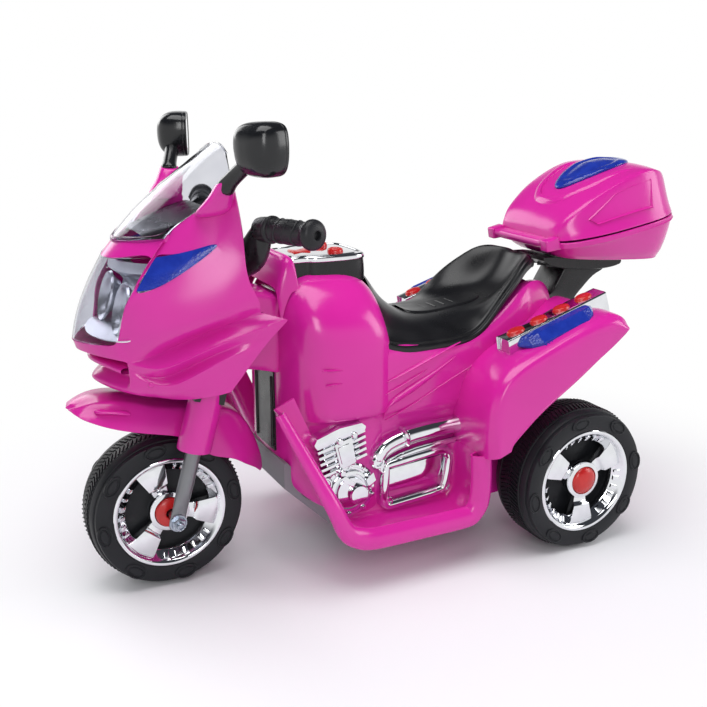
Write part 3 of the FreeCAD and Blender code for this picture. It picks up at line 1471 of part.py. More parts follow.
socket_barrel = rod("socket_barrel", size.socket_radius, 22, (socket_x, -body_half - 2, SOCKET_HEIGHT))
flange_out = cut("socket_flange_out", socket_flange, body_solid)
socket_whole = fuse("socket_whole", main_solid("socket_flange_main", flange_out), socket_barrel)
socket_pit = rod("socket_pit", size.socket_radius / 2, 12, (socket_x, -body_half - 2, SOCKET_HEIGHT))
node("charge_socket", cut("socket", socket_whole, socket_pit))

# Foot pedal on the right tray: hinged plate in two ears, with its switch below
pedal_x = rear_axle_x + 190
pedal_far = -size.trim_half_width - 4
pedal_y = pedal_far - size.pedal_width
pin_z = tray_floor + size.pedal_pin_radius + 4
pedal_front = pedal_x + size.pedal_length
pedal_plate = side_pad("pedal_plate", (
    (pedal_x, pin_z - 3), (pedal_front, pin_z + size.pedal_rise - size.pedal_thickness),
    (pedal_front, pin_z + size.pedal_rise), (pedal_x, pin_z + 3),
), pedal_y, pedal_far)
pedal_eye = rod("pedal_eye", size.pedal_pin_radius + 3, size.pedal_width, (pedal_x, pedal_y, pin_z))
pedal_bore = rod(
    "pedal_bore", size.pedal_pin_radius + size.running_clearance, size.pedal_width, (pedal_x, pedal_y, pin_z),
)
node("foot_pedal", cut("pedal", fuse("pedal_whole", pedal_plate, pedal_eye), pedal_bore))
PEDAL_EAR = 4
ear_gap = size.seat_clearance
pedal_pin = rod("pedal_pin", size.pedal_pin_radius, size.pedal_width + 2 * (PEDAL_EAR + ear_gap),
                (pedal_x, pedal_y - PEDAL_EAR - ear_gap, pin_z))
pedal_ears = [
    block(f"pedal_ear_{number}", (pedal_x - 7, y, tray_floor), (pedal_x + 7, y + PEDAL_EAR, pin_z + 5))
    for number, y in enumerate((pedal_y - PEDAL_EAR - ear_gap, pedal_far + ear_gap))
]
switch_x = pedal_x + size.pedal_length * 0.55
switch_mid = (pedal_y + pedal_far) / 2
pedal_switch = block(
    "pedal_switch", (switch_x, switch_mid - 8, tray_floor), (switch_x + 14, switch_mid + 8, tray_floor + 5),
)
node("pedal_bracket", group(
    "pedal_bracket_set", fuse("pedal_bracket_whole", pedal_pin, *pedal_ears), pedal_switch,
))

doc.recompute()
failed = [item.Name for item in doc.Objects if "Invalid" in item.State or "Error" in item.State]
if failed:
    raise RuntimeError(f"these objects did not build: {failed}")
for part in nodes:
    if part.Shape.isNull() or not part.Shape.isValid() or not part.Shape.Solids:
        raise RuntimeError(f"{part.Label} has no valid solid")

os.makedirs("parts", exist_ok=True)
for part in nodes:
    part.Shape.exportStep(f"parts/{part.Label}.step")
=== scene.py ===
import math

import bmesh
import bpy
from mathutils import Matrix, Vector


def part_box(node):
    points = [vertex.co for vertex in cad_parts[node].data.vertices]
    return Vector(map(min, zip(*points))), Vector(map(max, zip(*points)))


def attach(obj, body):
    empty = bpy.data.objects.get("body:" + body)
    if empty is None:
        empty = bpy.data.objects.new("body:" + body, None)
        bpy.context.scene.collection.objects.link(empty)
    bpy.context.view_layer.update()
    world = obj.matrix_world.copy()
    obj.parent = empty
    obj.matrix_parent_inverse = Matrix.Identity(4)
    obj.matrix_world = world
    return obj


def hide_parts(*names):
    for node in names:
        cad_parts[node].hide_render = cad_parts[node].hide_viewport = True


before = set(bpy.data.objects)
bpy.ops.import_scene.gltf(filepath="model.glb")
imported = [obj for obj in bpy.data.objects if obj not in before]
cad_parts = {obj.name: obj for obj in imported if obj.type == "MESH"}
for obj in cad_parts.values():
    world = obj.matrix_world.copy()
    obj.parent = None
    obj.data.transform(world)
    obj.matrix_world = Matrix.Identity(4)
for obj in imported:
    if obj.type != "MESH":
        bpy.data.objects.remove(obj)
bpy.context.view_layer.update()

# Studio: a pale seamless floor that turns to plain white away from the toy,
# soft boxes overhead and at the sides, and a camera at the viewer's eye.
scene = bpy.context.scene
scene.view_settings.view_transform = "Standard"


def linear(code):
    """Linear colour of an sRGB hex value such as d42a96."""
    channels = [int(code[i:i + 2], 16) / 255 for i in (0, 2, 4)]
    return tuple(c / 12.92 if c <= 0.04045 else ((c + 0.055) / 1.055) ** 2.4 for c in channels) + (1.0,)


def add(tree, kind, settings=None, inputs=None):
    """Node of one kind, with its settings, and with a value or an output linked to each named input."""
    made = tree.nodes.new(kind)
    for key, value in (settings or {}).items():
        setattr(made, key, value)
    for key, value in (inputs or {}).items():
        if isinstance(value, bpy.types.NodeSocket):
            tree.links.new(value, made.inputs[key])
        else:
            made.inputs[key].default_value = value
    return made


def material(name):
    """New material with its shader ready to be set."""
    made = bpy.data.materials.new(name)
    made.use_nodes = True
    return made, made.node_tree, made.node_tree.nodes["Principled BSDF"]


def shown_as_white(tree):
    """1 for rays from the eye, also by way of metal and glass."""
    path = add(tree, "ShaderNodeLightPath")
    seen = add(tree, "ShaderNodeMath", {"operation": "MAXIMUM"},
        {0: path.outputs["Is Camera Ray"], 1: path.outputs["Is Glossy Ray"]})
    return add(tree, "ShaderNodeMath", {"operation": "MAXIMUM"},
        {0: seen.outputs[0], 1: path.outputs["Is Transmission Ray"]}).outputs[0]


world = bpy.data.worlds.new("studio_air")
scene.world = world
world.use_nodes = True
air = world.node_tree
look = add(air, "ShaderNodeSeparateXYZ", inputs={0: add(air, "ShaderNodeTexCoord").outputs["Generated"]})
ceiling = add(air, "ShaderNodeMapRange", {"interpolation_type": "SMOOTHSTEP"},
    {0: look.outputs["Z"], 1: 0.1, 2: 0.5})
backdrop = add(air, "ShaderNodeMix", {"data_type": "RGBA"}, {0: ceiling.outputs[0], 6: linear("ffffff"),
    7: linear("3d3f45")})
open_light = add(air, "ShaderNodeBackground", inputs={"Color": linear("e9ebf0"), "Strength": 0.42})
white = add(air, "ShaderNodeBackground", inputs={"Color": backdrop.outputs[2], "Strength": 1.0})
either = add(air, "ShaderNodeMixShader", inputs={0: shown_as_white(air), 1: open_light.outputs[0],
    2: white.outputs[0]})
air.links.new(either.outputs[0], air.nodes["World Output"].inputs["Surface"])

# matt white card: 1 mm fibres in its tone; away from the toy it passes into the white of the backdrop
FADE_FROM, FADE_TO = 0.28, 0.74  # metres from the middle
floor_paper, paper, paper_shader = material("floor_paper")
place = add(paper, "ShaderNodeTexCoord")
fibre = add(paper, "ShaderNodeTexNoise", inputs={"Vector": place.outputs["Object"], "Scale": 900.0})
tone = add(paper, "ShaderNodeMix", {"data_type": "RGBA"}, {0: fibre.outputs["Fac"], 6: linear("f3f2f5"),
    7: linear("f8f7fa")})
paper.links.new(tone.outputs[2], paper_shader.inputs["Base Color"])
paper_shader.inputs["Roughness"].default_value = 0.8
paper_shader.inputs["Specular IOR Level"].default_value = 0.15
away = add(paper, "ShaderNodeVectorMath", {"operation": "LENGTH"}, {0: place.outputs["Object"]})
fade = add(paper, "ShaderNodeMapRange", {"interpolation_type": "SMOOTHSTEP"},
    {0: away.outputs["Value"], 1: FADE_FROM, 2: FADE_TO})
faded = add(paper, "ShaderNodeMath", {"operation": "MULTIPLY"}, {0: fade.outputs[0],
    1: shown_as_white(paper)})
glow = add(paper, "ShaderNodeEmission", inputs={"Color": linear("ffffff"), "Strength": 1.0})
sheet = add(paper, "ShaderNodeMixShader", inputs={0: faded.outputs[0], 1: paper_shader.outputs[0],
    2: glow.outputs[0]})
paper.links.new(sheet.outputs[0], paper.nodes["Material Output"].inputs["Surface"])
FLOOR = 8.0  # half of its side in metres
floor_mesh = bpy.data.meshes.new("floor")
floor_mesh.from_pydata([(x * FLOOR, y * FLOOR, 0) for x, y in ((-1, -1), (1, -1), (1, 1), (-1, 1))], [],
    [(0, 1, 2, 3)])
floor = bpy.data.objects.new("floor", floor_mesh)
floor.data.materials.append(floor_paper)
scene.collection.objects.link(floor)


LIGHTS = (  # name, place, the point it faces, width and height in metres, power in watts
    ("top_light", (0.35, 0.2, 1.9), (0.05, 0.0, 0.2), 1.6, 1.2, 23),
    ("window_light", (0.75, 1.7, 1.05), (0.0, 0.0, 0.25), 0.5, 1.0, 9),
    ("rear_light", (-1.6, 0.9, 0.9), (-0.2, 0.0, 0.25), 0.8, 1.0, 9),
    ("far_light", (0.6, -1.7, 1.1), (0.0, 0.0, 0.3), 1.0, 1.0, 9))
for name, at, aim, width, height, power in LIGHTS:
    lamp = bpy.data.lights.new(name, "AREA")
    lamp.shape = "RECTANGLE"
    lamp.size, lamp.size_y, lamp.energy = width, height, power
    holder = bpy.data.objects.new(name, lamp)
    scene.collection.objects.link(holder)
    holder.location = at
    holder.rotation_euler = (Vector(aim) - Vector(at)).to_track_quat("-Z", "Y").to_euler()

# where the viewer is and looks
EYE, GAZE = Vector((0.5551, 1.0215, 0.5687)), Vector((0.0373, -0.0013, 0.2359))
eye = bpy.data.cameras.new("eye")
eye.lens, eye.sensor_width = 49.3, 36.0
eye.shift_x = -0.0106
camera = bpy.data.objects.new("eye", eye)
scene.collection.objects.link(camera)
camera.location = EYE
camera.rotation_euler = (GAZE - EYE).to_track_quat("-Z", "Y").to_euler()
scene.camera = camera

# Wheels: hollow tyres blown in black polyethylene, with slanted ribs pressed into the tread
# and oval pads on the side wall. The tyre's own dished web carries the hub.
MM = 0.001
DATUM = 12.5  # x is drawn from a point this far ahead of the frame's origin
WELD = 0.01 * MM  # points nearer than this become one
TREAD_RADIUS, PAD_RADIUS, FRONT_HALF, REAR_HALF = 88.0, 76.6, 31.0, 35.0  # halves of the tyres' widths
TREAD_RIBS, WALL_PADS, FIRST_PAD = 104, 8, 10.0  # copies round the axle, and the first pad's angle


def surface(name, tint, gloss=None, relief=None, **values):
    """Finish whose colour, gloss and relief follow patterns: tint is a pattern and two colours,
    gloss a pattern, its range and two roughnesses, relief a pattern, a strength and a depth."""
    made, tree, shader = material(name)
    place = add(tree, "ShaderNodeTexCoord").outputs["Object"]

    def drawn(kind, size, detail=2.0):
        """Output of a noise or cell pattern with its size in millimetres."""
        inputs = {"Vector": place, "Scale": 1 / (size * MM)}
        if kind == "NOISE":
            return add(tree, "ShaderNodeTexNoise", inputs={**inputs, "Detail": detail}).outputs["Fac"]
        return add(tree, "ShaderNodeTexVoronoi", {"feature": kind}, inputs).outputs["Distance"]

    pattern, dark, light = tint
    colour = add(tree, "ShaderNodeMix", {"data_type": "RGBA"}, {0: drawn(*pattern), 6: linear(dark),
        7: linear(light)})
    tree.links.new(colour.outputs[2], shader.inputs["Base Color"])
    if gloss:
        pattern, *ends = gloss
        rough = add(tree, "ShaderNodeMapRange", inputs={0: drawn(*pattern), **dict(enumerate(ends, 1))})
        tree.links.new(rough.outputs[0], shader.inputs["Roughness"])
    if relief:
        pattern, strength, depth = relief
        bump = add(tree, "ShaderNodeBump", inputs={"Height": drawn(*pattern), "Strength": strength,
            "Distance": depth * MM})
        tree.links.new(bump.outputs[0], shader.inputs["Normal"])
    for key, value in values.items():
        shader.inputs[key.replace("_", " ")].default_value = value
    return made


# matt skin of the blow mould: 0.8 mm grain in the surface, 25 mm patches that are a little more worn
blown_polyethylene = surface("blown_polyethylene", tint=(("NOISE", 25), "141518", "24252a"),
    gloss=(("NOISE", 25), 0.3, 0.7, 0.38, 0.52), relief=(("NOISE", 0.8, 3.0), 0.12, 0.2), IOR=1.5,
    Specular_IOR_Level=0.28)


def mesh_of(points, faces):
    """Mesh from points in millimetres."""
    made = bpy.data.meshes.new("part")
    made.from_pydata([tuple(c * MM for c in p) for p in points], [], faces)
    made.update()
    return made


def around(count):
    """Angles in equal steps round a circle."""
    return [2 * math.pi * k / count for k in range(count)]


def spun(profile, centre, side=1, steps=120):
    """Closed ring from radius and width pairs turned about an axle along Y."""
    x, y, z = centre
    points = [(x + radius * math.sin(a), y + side * across, z + radius * math.cos(a))
        for a in around(steps) for radius, across in profile]
    faces, count = [], len(profile)
    for step in range(steps):
        here, there = step * count, (step + 1) % steps * count
        for i in range(count):
            j = (i + 1) % count
            ring = (here + i, there + i, there + j, here + j)
            faces.append(ring if side > 0 else ring[::-1])
    return mesh_of(points, faces)


def joined(*meshes):
    """One mesh of several, with doubles merged and faces turned outwards."""
    work = bmesh.new()
    for part in meshes:
        work.from_mesh(part)
    bmesh.ops.remove_doubles(work, verts=work.verts, dist=WELD)
    bmesh.ops.recalc_face_normals(work, faces=work.faces)
    made = bpy.data.meshes.new("part")
    work.to_mesh(made)
    work.free()
    return made


def fix(name, mesh, finish, body, *nodes, sharp=35):
    """Finished piece: smooth up to an angle, in one finish, riding on a body and standing for CAD nodes."""
    mesh.transform(Matrix.Translation((DATUM * MM, 0, 0)))
    piece = bpy.data.objects.new(name, mesh)
    scene.collection.objects.link(piece)
    mesh.materials.clear()
    mesh.materials.append(finish)
    mesh.polygons.foreach_set("use_smooth", [True] * len(mesh.polygons))
    mesh.set_sharp_from_angle(angle=math.radians(sharp))
    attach(piece, body)
    if nodes:
        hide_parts(*nodes)


def node_tree(name, inputs):
    """Empty geometry tree with named inputs and one geometry output."""
    tree = bpy.data.node_groups.new(name, "GeometryNodeTree")
    tree.interface.new_socket("Geometry", in_out="INPUT", socket_type="NodeSocketGeometry")
    for label, kind in inputs:
        tree.interface.new_socket(label, in_out="INPUT", socket_type=kind)
    tree.interface.new_socket("Geometry", in_out="OUTPUT", socket_type="NodeSocketGeometry")
    return tree, add(tree, "NodeGroupInput").outputs, add(tree, "NodeGroupOutput")


copy_tree, given, out = node_tree("copies", (("Count", "NodeSocketInt"), ("Start", "NodeSocketFloat"),
    ("Turn", "NodeSocketFloat"), ("Step", "NodeSocketVector"), ("Place", "NodeSocketVector"),
    ("Finish", "NodeSocketMaterial")))
number = add(copy_tree, "GeometryNodeInputIndex").outputs[0]
pace = add(copy_tree, "ShaderNodeVectorMath", {"operation": "SCALE"}, {0: given["Step"], "Scale": number})
turn = add(copy_tree, "ShaderNodeMath", {"operation": "MULTIPLY_ADD"},
    {0: number, 1: given["Turn"], 2: given["Start"]})
about = add(copy_tree, "ShaderNodeCombineXYZ", inputs={"Y": turn.outputs[0]})
facing = add(copy_tree, "FunctionNodeEulerToRotation", inputs={0: about.outputs[0]})
spots = add(copy_tree, "GeometryNodePoints", inputs={"Count": given["Count"], "Position": pace.outputs[0]})
copies = add(copy_tree, "GeometryNodeInstanceOnPoints", inputs={"Points": spots.outputs[0],
    "Instance": given["Geometry"], "Rotation": facing.outputs[0]})
whole = add(copy_tree, "GeometryNodeRealizeInstances", inputs={"Geometry": copies.outputs[0]})
moved = add(copy_tree, "GeometryNodeTransform", inputs={"Geometry": whole.outputs[0],
    "Translation": given["Place"]})
painted = add(copy_tree, "GeometryNodeSetMaterial", inputs={"Geometry": moved.outputs[0],
    "Material": given["Finish"]})
copy_tree.links.new(painted.outputs[0], out.inputs[0])


def copied(seed, **values):
    """Mesh of the copies of a seed mesh, with values for the tree's inputs."""
    holder = bpy.data.objects.new("seed", seed)
    scene.collection.objects.link(holder)
    run = holder.modifiers.new("copies", "NODES")
    run.node_group = copy_tree
    for item in copy_tree.interface.items_tree:
        if item.in_out == "INPUT" and item.name in values:
            run[item.identifier] = values[item.name]
    made = bpy.data.meshes.new_from_object(holder.evaluated_get(bpy.context.evaluated_depsgraph_get()))
    bpy.data.objects.remove(holder)
    return made


def round_axle(seed, count, axle, finish, start=0.0):
    """Copies of a seed mesh in equal steps round an axle."""
    return copied(seed, Count=count, Start=math.radians(start), Turn=2 * math.pi / count,
        Place=[c * MM for c in axle], Finish=finish)


def bar(low, high):
    """Block between two four-cornered ends."""
    sides = [(i, (i + 1) % 4, (i + 1) % 4 + 4, i + 4) for i in range(4)]
    return mesh_of(low + high, [(3, 2, 1, 0), (4, 5, 6, 7)] + sides)


def tread_ribs(half, axle):
    """Two rows of slanted ribs, one each side of the middle of the tread."""
    rows = []
    for sign in (1, -1):
        ends = []
        for across, along in ((1.5, 0.0), (half - 18.0, 5.0)):
            ends.append([(along + t, sign * across, TREAD_RADIUS + lift)
                for t, lift in ((-1.3, 0), (-0.9, 1.9), (0.9, 1.9), (1.3, 0))])
        rows.append(bar(*ends))
    return round_axle(joined(*rows), TREAD_RIBS, axle, blown_polyethylene)


def oval_pads(face, axle, sides):
    """Oval pads on the side wall, each with a groove round a raised middle."""
    pads = []
    for side in sides:
        rings = ((13.5, 8.6, -0.6), (13.0, 8.1, 1.5), (11.4, 6.6, 1.7), (10.6, 5.9, 0.5), (9.2, 4.8, 0.5),
            (8.0, 3.8, 1.5), (0.4, 0.3, 1.7))
        faces, steps = [], 28
        points = [(long * math.cos(a), side * (face + lift), PAD_RADIUS + short * math.sin(a))
            for long, short, lift in rings for a in around(steps)]
        for ring in range(len(rings) - 1):
            for i in range(steps):
                j = (i + 1) % steps
                faces.append((ring * steps + i, ring * steps + j, (ring + 1) * steps + j,
                    (ring + 1) * steps + i))
        faces.append(tuple(range((len(rings) - 1) * steps, len(rings) * steps)))
        pads.append(mesh_of(points, faces))
    return round_axle(joined(*pads), WALL_PADS, axle, blown_polyethylene, FIRST_PAD)


def tyre_profile(half, inner_hub):
    """Radius and width of the tyre's section: shoulder, side wall, dish and hub on each face."""
    face = ((88.6, 0), (88.6, half - 17), (87.2, half - 16.3), (87.2, half - 15.1), (88.2, half - 14.2),
        (86.8, half - 6.8), (86.2, half - 5.9), (84.7, half - 5.7), (84.5, half - 2.6), (83.7, half - 0.8),
        (81.8, half), (66.8, half), (65.6, half - 0.6), (65.2, half - 1.8), (65.2, half - 8),
        (60.5, half - 8), (58.6, half - 10), (55, 9.5), (52.5, 8), (21, 8), (18.5, 9.5), (16.6, half - 12),
        (5.2, half - 12))
    back = face if inner_hub is None else face[:12] + ((64, half), (61, half - 2), (55, 9.5), (52.5, 8),
        (21, 8), (18.5, 9.5), (16.4, inner_hub), (5.2, inner_hub))
    return [(r, w) for r, w in face] + [(r, -w) for r, w in reversed(back[1:])]


wheels = {}
for label, side in (("front", 0), ("rear_left", 1), ("rear_right", -1)):
    body, node = f"{label}_wheel", f"{label}_tyre"
    low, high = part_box(node)
    axle = [c / MM for c in (low + high) / 2]
    axle[0] -= DATUM
    half = REAR_HALF if side else FRONT_HALF
    axle[1] = {0: 0.0, 1: high.y / MM - half, -1: low.y / MM + half}[side]
    wheels[label] = (axle, half, body, side)
    tyre = spun(tyre_profile(half, None if side == 0 else half + 3), axle, side or 1)
    ribs = tread_ribs(half, axle)
    pads = oval_pads(half, axle, (1, -1) if side == 0 else (side,))
    fix(f"{label}_tyre_moulding", joined(tyre, ribs, pads), blown_polyethylene, body, node)

# Rims: chrome-plated ABS covers pressed into the tyre's dish, each with three broad flat spokes,
# a polished lip, a sloped band with plain raised blocks, and dark windows; a red dome closes each hub.

# bright vacuum plating: 14 mm waves of the moulding under it, 1.5 mm specks that are a little duller
chromed_abs = surface("chromed_abs", tint=(("NOISE", 14, 1.0), "d9dbdf", "eeeff2"),
    gloss=(("NOISE", 1.5), 0.35, 0.75, 0.04, 0.1), relief=(("NOISE", 14, 1.0), 0.12, 1.0), Metallic=1.0)

# glossy moulded red: 9 mm flow clouds in the pigment, 0.6 mm texture in the gloss
red_abs = surface("red_abs", tint=(("NOISE", 9), "b3191c", "cf2a28"),
    gloss=(("NOISE", 0.6), 0.0, 1.0, 0.16, 0.3), IOR=1.53)


SHARP = math.radians(28)  # edges that turn by more than this are rounded
FRONT_SPOKE, REAR_SPOKE = -100.0, 60.0  # angle of the first spoke


def bevelled(mesh, width, steps=2):
    """The mesh with its sharp edges rounded."""
    work = bmesh.new()
    work.from_mesh(mesh)
    bmesh.ops.remove_doubles(work, verts=work.verts, dist=WELD)
    bmesh.ops.recalc_face_normals(work, faces=work.faces)
    edges = [e for e in work.edges if e.is_manifold and e.calc_face_angle() > SHARP]
    bmesh.ops.bevel(work, geom=edges, offset=width * MM, segments=steps, affect="EDGES", profile=0.6,
        clamp_overlap=True)
    work.to_mesh(mesh)
    work.free()
    return mesh


def rim_mesh(axle, half, side, start):
    """Chrome cover of one wheel face: lip, band, three spokes, blocks between them and a hub ring."""
    lip = spun(((65, half - 6), (65, half - 0.6), (64.2, half + 0.2), (62.6, half + 0.4),
        (60.6, half - 0.4), (58.6, half - 3.2), (57, half - 5.6), (50, half - 9.8), (49, half - 11),
        (49, half - 15), (60, half - 15)), axle, side)
    hub = spun(((16.8, half - 12), (24, half - 12), (24, half - 7), (22.5, half - 4.5), (20, half - 3.6),
        (18, half - 3.4), (17.4, half - 4.5), (16.8, half - 7)), axle, side)
    levels = ((21, 8.5, half - 8), (29, 9.5, half - 7.6), (32.5, 11.5, half - 3.4), (50, 16.0, half - 2.4),
        (59.5, 18.5, half - 5.0))
    points, faces = [], []
    for radius, wide, top in levels:
        for across, up in ((-wide, half - 15), (-wide, top - 1.2), (0, top), (wide, top - 1.2),
                (wide, half - 15)):
            points.append((across, side * up, radius))
    for k in range(len(levels) - 1):
        for i in range(5):
            j = (i + 1) % 5
            faces.append((k * 5 + i, k * 5 + j, k * 5 + 5 + j, k * 5 + 5 + i))
    faces += [(0, 1, 2, 3, 4), tuple(range(len(points) - 5, len(points)))]
    spoke = bevelled(mesh_of(points, faces), 1.0)
    blocks = []
    for spot, wide in ((-27, 2.8), (-15, 1.9), (-3, 3.1), (9, 2.3), (21, 2.9), (31, 1.7)):
        angle = math.radians(60 + spot)
        outward, along = (math.sin(angle), math.cos(angle)), (math.cos(angle), -math.sin(angle))
        ends = []
        for radius, top in ((50.4, half - 7.2), (56.6, half - 3.4)):
            ends.append([(outward[0] * radius + along[0] * w, side * up,
                outward[1] * radius + along[1] * w) for w, up in ((-wide, half - 13), (wide, half - 13),
                (wide, top), (-wide, top))])
        blocks.append(bevelled(bar(*ends), 0.7))
    third = joined(spoke, *blocks)
    return joined(lip, hub, round_axle(third, 3, axle, chromed_abs, start))


for label, (axle, half, body, side) in wheels.items():
    start = REAR_SPOKE if side else FRONT_SPOKE
    faces = [rim_mesh(axle, half, s, start) for s in ((side,) if side else (1, -1))]
    node = "front_rims" if side == 0 else f"{label}_rim"
    fix(f"{label}_rim_cover", joined(*faces), chromed_abs, body, node)
    if side:
        dome = ((0.3, half + 2.2), (6, half + 1.9), (11, half + 0.6), (14.5, half - 1.2),
            (16.6, half - 3.2), (17, half - 5), (17, half - 7), (0.3, half - 7))
        fix(f"{label}_hub_dome", joined(spun(dome, axle, side, 48)), red_abs, body, f"{label}_cap")
    else:
        collar = ((6.0, 30.2), (6.0, 33.0), (7.2, 33.8), (12.5, 33.2), (16.2, 31.2), (17, 29.6),
            (17, 25.0), (6.0, 25.0))
        rings = [spun(collar, axle, s, 48) for s in (1, -1)]
        fix("front_hub_collars", joined(*rings), red_abs, body, "front_caps")

# Body: two mirrored halves in glossy pink ABS that meet on the middle line, each with half of the tank,
# the steering neck, the side panel under the seat and a foot well with a rolled rim.

# high-gloss moulding: 70 mm clouds in the pigment, 5 mm ripple of the mould, 0.7 mm haze in the gloss
pink_abs = surface("pink_abs", tint=(("NOISE", 70), "cf1f96", "d92aa0"),
    gloss=(("NOISE", 0.7), 0.3, 0.7, 0.15, 0.22), relief=(("NOISE", 5, 1.0), 0.025, 0.5), IOR=1.53)


FIT_ROUNDS, FIT_STEP = 4, 0.85  # how a moulding is brought through its points


def modified(mesh, levels=0, wall=0.0):
    """The mesh after subdivision, and after its wall is given thickness inwards."""
    holder = bpy.data.objects.new("cage", mesh)
    scene.collection.objects.link(holder)
    if levels:
        smooth = holder.modifiers.new("smooth", "SUBSURF")
        smooth.levels = smooth.render_levels = levels
        smooth.boundary_smooth = "PRESERVE_CORNERS"
    if wall:
        skin = holder.modifiers.new("wall", "SOLIDIFY")
        skin.thickness, skin.offset = wall * MM, -1.0
    made = bpy.data.meshes.new_from_object(holder.evaluated_get(bpy.context.evaluated_depsgraph_get()))
    bpy.data.objects.remove(holder)
    return made


def moulded(grid, levels=2, wall=0.0, folds=(), gaps=(), both=False, loop=False, ends=False):
    """Smooth moulding that passes through rows of points.
    Folds are (row or column, index, sharpness), and gaps are cells left open."""
    work = bmesh.new()
    sharpness = work.edges.layers.float.new("crease_edge")
    knots = {}

    def knot(point):
        key = tuple(round(c, 2) for c in point)
        if key not in knots:
            knots[key] = work.verts.new([c * MM for c in point])
        return knots[key]

    for sign in (1, -1) if both else (1,):
        net = [[knot((x, sign * y, z)) for x, y, z in row] for row in grid]
        width = len(net[0])
        for i in range(len(net) - 1):
            for j in range(width if loop else width - 1):
                if (i, j) in gaps:
                    continue
                ring = [net[i][j], net[i][(j + 1) % width], net[i + 1][(j + 1) % width], net[i + 1][j]]
                ring = [v for k, v in enumerate(ring) if v not in ring[:k]]
                if len(ring) > 2 and not work.faces.get(ring):
                    work.faces.new(ring)
        if ends:
            work.faces.new(net[0])
            work.faces.new(net[-1])
        for way, index, amount in folds:
            line = net[index] if way == "row" else [row[index] for row in net]
            line = line + line[:1] if loop and way == "row" else line
            for first, second in zip(line, line[1:]):
                edge = work.edges.get((first, second)) if first is not second else None
                if edge:
                    edge[sharpness] = amount
    bmesh.ops.recalc_face_normals(work, faces=work.faces)
    middle = sum((v.co for v in work.verts), Vector()) / len(work.verts)
    if sum((f.calc_center_median() - middle).dot(f.normal) * f.calc_area() for f in work.faces) < 0:
        bmesh.ops.reverse_faces(work, faces=work.faces)
    made = bpy.data.meshes.new("part")
    work.to_mesh(made)
    work.free()
    goals = [v.co.copy() for v in made.vertices]
    for _ in range(FIT_ROUNDS if levels else 0):
        smooth = modified(made, levels)
        for v, goal in zip(made.vertices, goals):
            v.co += FIT_STEP * (goal - smooth.vertices[v.index].co)
        bpy.data.meshes.remove(smooth)
    return modified(made, levels, wall)


def closed(rings, levels=2, folds=()):
    """Moulding through rings of points, with both ends shut."""
    return moulded(rings, levels, folds=folds, loop=True, ends=True)


def opposite(mesh):
    """Mirror image of a mesh on the other side of the middle line."""
    made = mesh.copy()
    made.transform(Matrix.Diagonal((1, -1, 1, 1)))
    made.flip_normals()
    return made


def heading(path, i):
    """Direction of a path at one of its points."""
    return (Vector(path[min(i + 1, len(path) - 1)]) - Vector(path[max(i - 1, 0)])).normalized()


def pair(*parts):
    """Meshes of the left side together with their mirror images."""
    return joined(*parts, *[opposite(part) for part in parts])


BAY_TOP, BAY_REAR, BAY_FRONT, BAY_DEPTH = 184, 30, 140, 7.0  # edges of the engine bay and its depth


def arch(x, half, top, curve, low):
    """Rib of the tank: over the dome from the middle line, down the flank, into the engine bay and under."""
    rib = [(x, 0.0, top)]
    for degrees in (70, 50, 30, 12):
        angle = math.radians(degrees)
        rib.append((x, half - curve + curve * math.cos(angle), top - curve + curve * math.sin(angle)))
    wall = half - (BAY_DEPTH if BAY_REAR < x < BAY_FRONT else 2.0)
    rib += [(x, half, top - curve - 12), (x, half + 0.5, 232), (x, half, BAY_TOP + 9), (x, wall, BAY_TOP),
        (x, wall, 0.5 * (BAY_TOP + low)), (x, wall, low + 12), (x, wall - 8, low + 1.5),
        (x, 0.4 * wall, low), (x, 0.0, low)]
    return rib


TANK_RIBS = (  # x, half width, height of the crown, radius of its shoulder, height of the floor
    (152, 30, 322, 24, 116), (149, 52, 328, 34, 111), (139, 75, 340, 52, 99), (122, 90, 350, 70, 85),
    (96, 96.5, 354, 82, 73), (70, 97, 353, 84, 62), (52, 96, 347, 84, 56), (38, 92, 336, 80, 54.5),
    (29, 84, 318, 74, 54), (24, 66, 300, 60, 54))
tank_rows = [arch(*rib) for rib in TANK_RIBS]
tank_rows.insert(0, [(153, 0.0, z) for _, _, z in tank_rows[0]])
tank = moulded(tank_rows, 2, folds=(("col", 7, 0.45), ("col", 8, 0.45), ("row", 1, 0.2)))

PANEL_RIBS = (  # x, y and z of the edge under the seat, then the flank's y at each height below it
    (52, 86, 268, 92, 93, 93.5, 92, 86), (22, 85, 268, 90, 91, 91.5, 91, 86),
    (-8, 84, 265.5, 91, 92.5, 93, 92.5, 86), (-40, 84, 264.5, 92, 93.5, 94, 93, 86),
    (-74, 83, 268, 91, 93, 94, 93, 86), (-104, 81, 279, 89, 91, 92, 92, 85),
    (-130, 78, 293, 85, 88, 90, 90, 84), (-160, 70, 312, 77, 82, 84, 84, 80),
    (-186, 58, 318, 65, 70, 72, 72, 70), (-212, 42, 312, 50, 56, 60, 60, 60),
    (-236, 22, 298, 28, 36, 44, 46, 46), (-246, 0, 290, 0, 0, 0, 0, 0))
panel_rows = []
for x, edge, high, *flank in PANEL_RIBS:
    levels = (high - 9, high - 26, 0.5 * (high + 190), 192, 176)
    low = 54 if x > -220 else 66  # the floor steps up at the tail
    foot = flank[-1]
    panel_rows.append([(x, max(edge - 14, 0), high - 1.5), (x, edge, high),
        *((x, y, z) for y, z in zip(flank, levels)), (x, foot, 130), (x, foot, low + 10),
        (x, max(foot - 8, 0), low + 1), (x, 0.4 * foot, low), (x, 0, low)])
side_panel = moulded(panel_rows, 2, folds=(("col", 1, 0.5), ("col", 5, 0.4), ("col", 6, 0.4)))

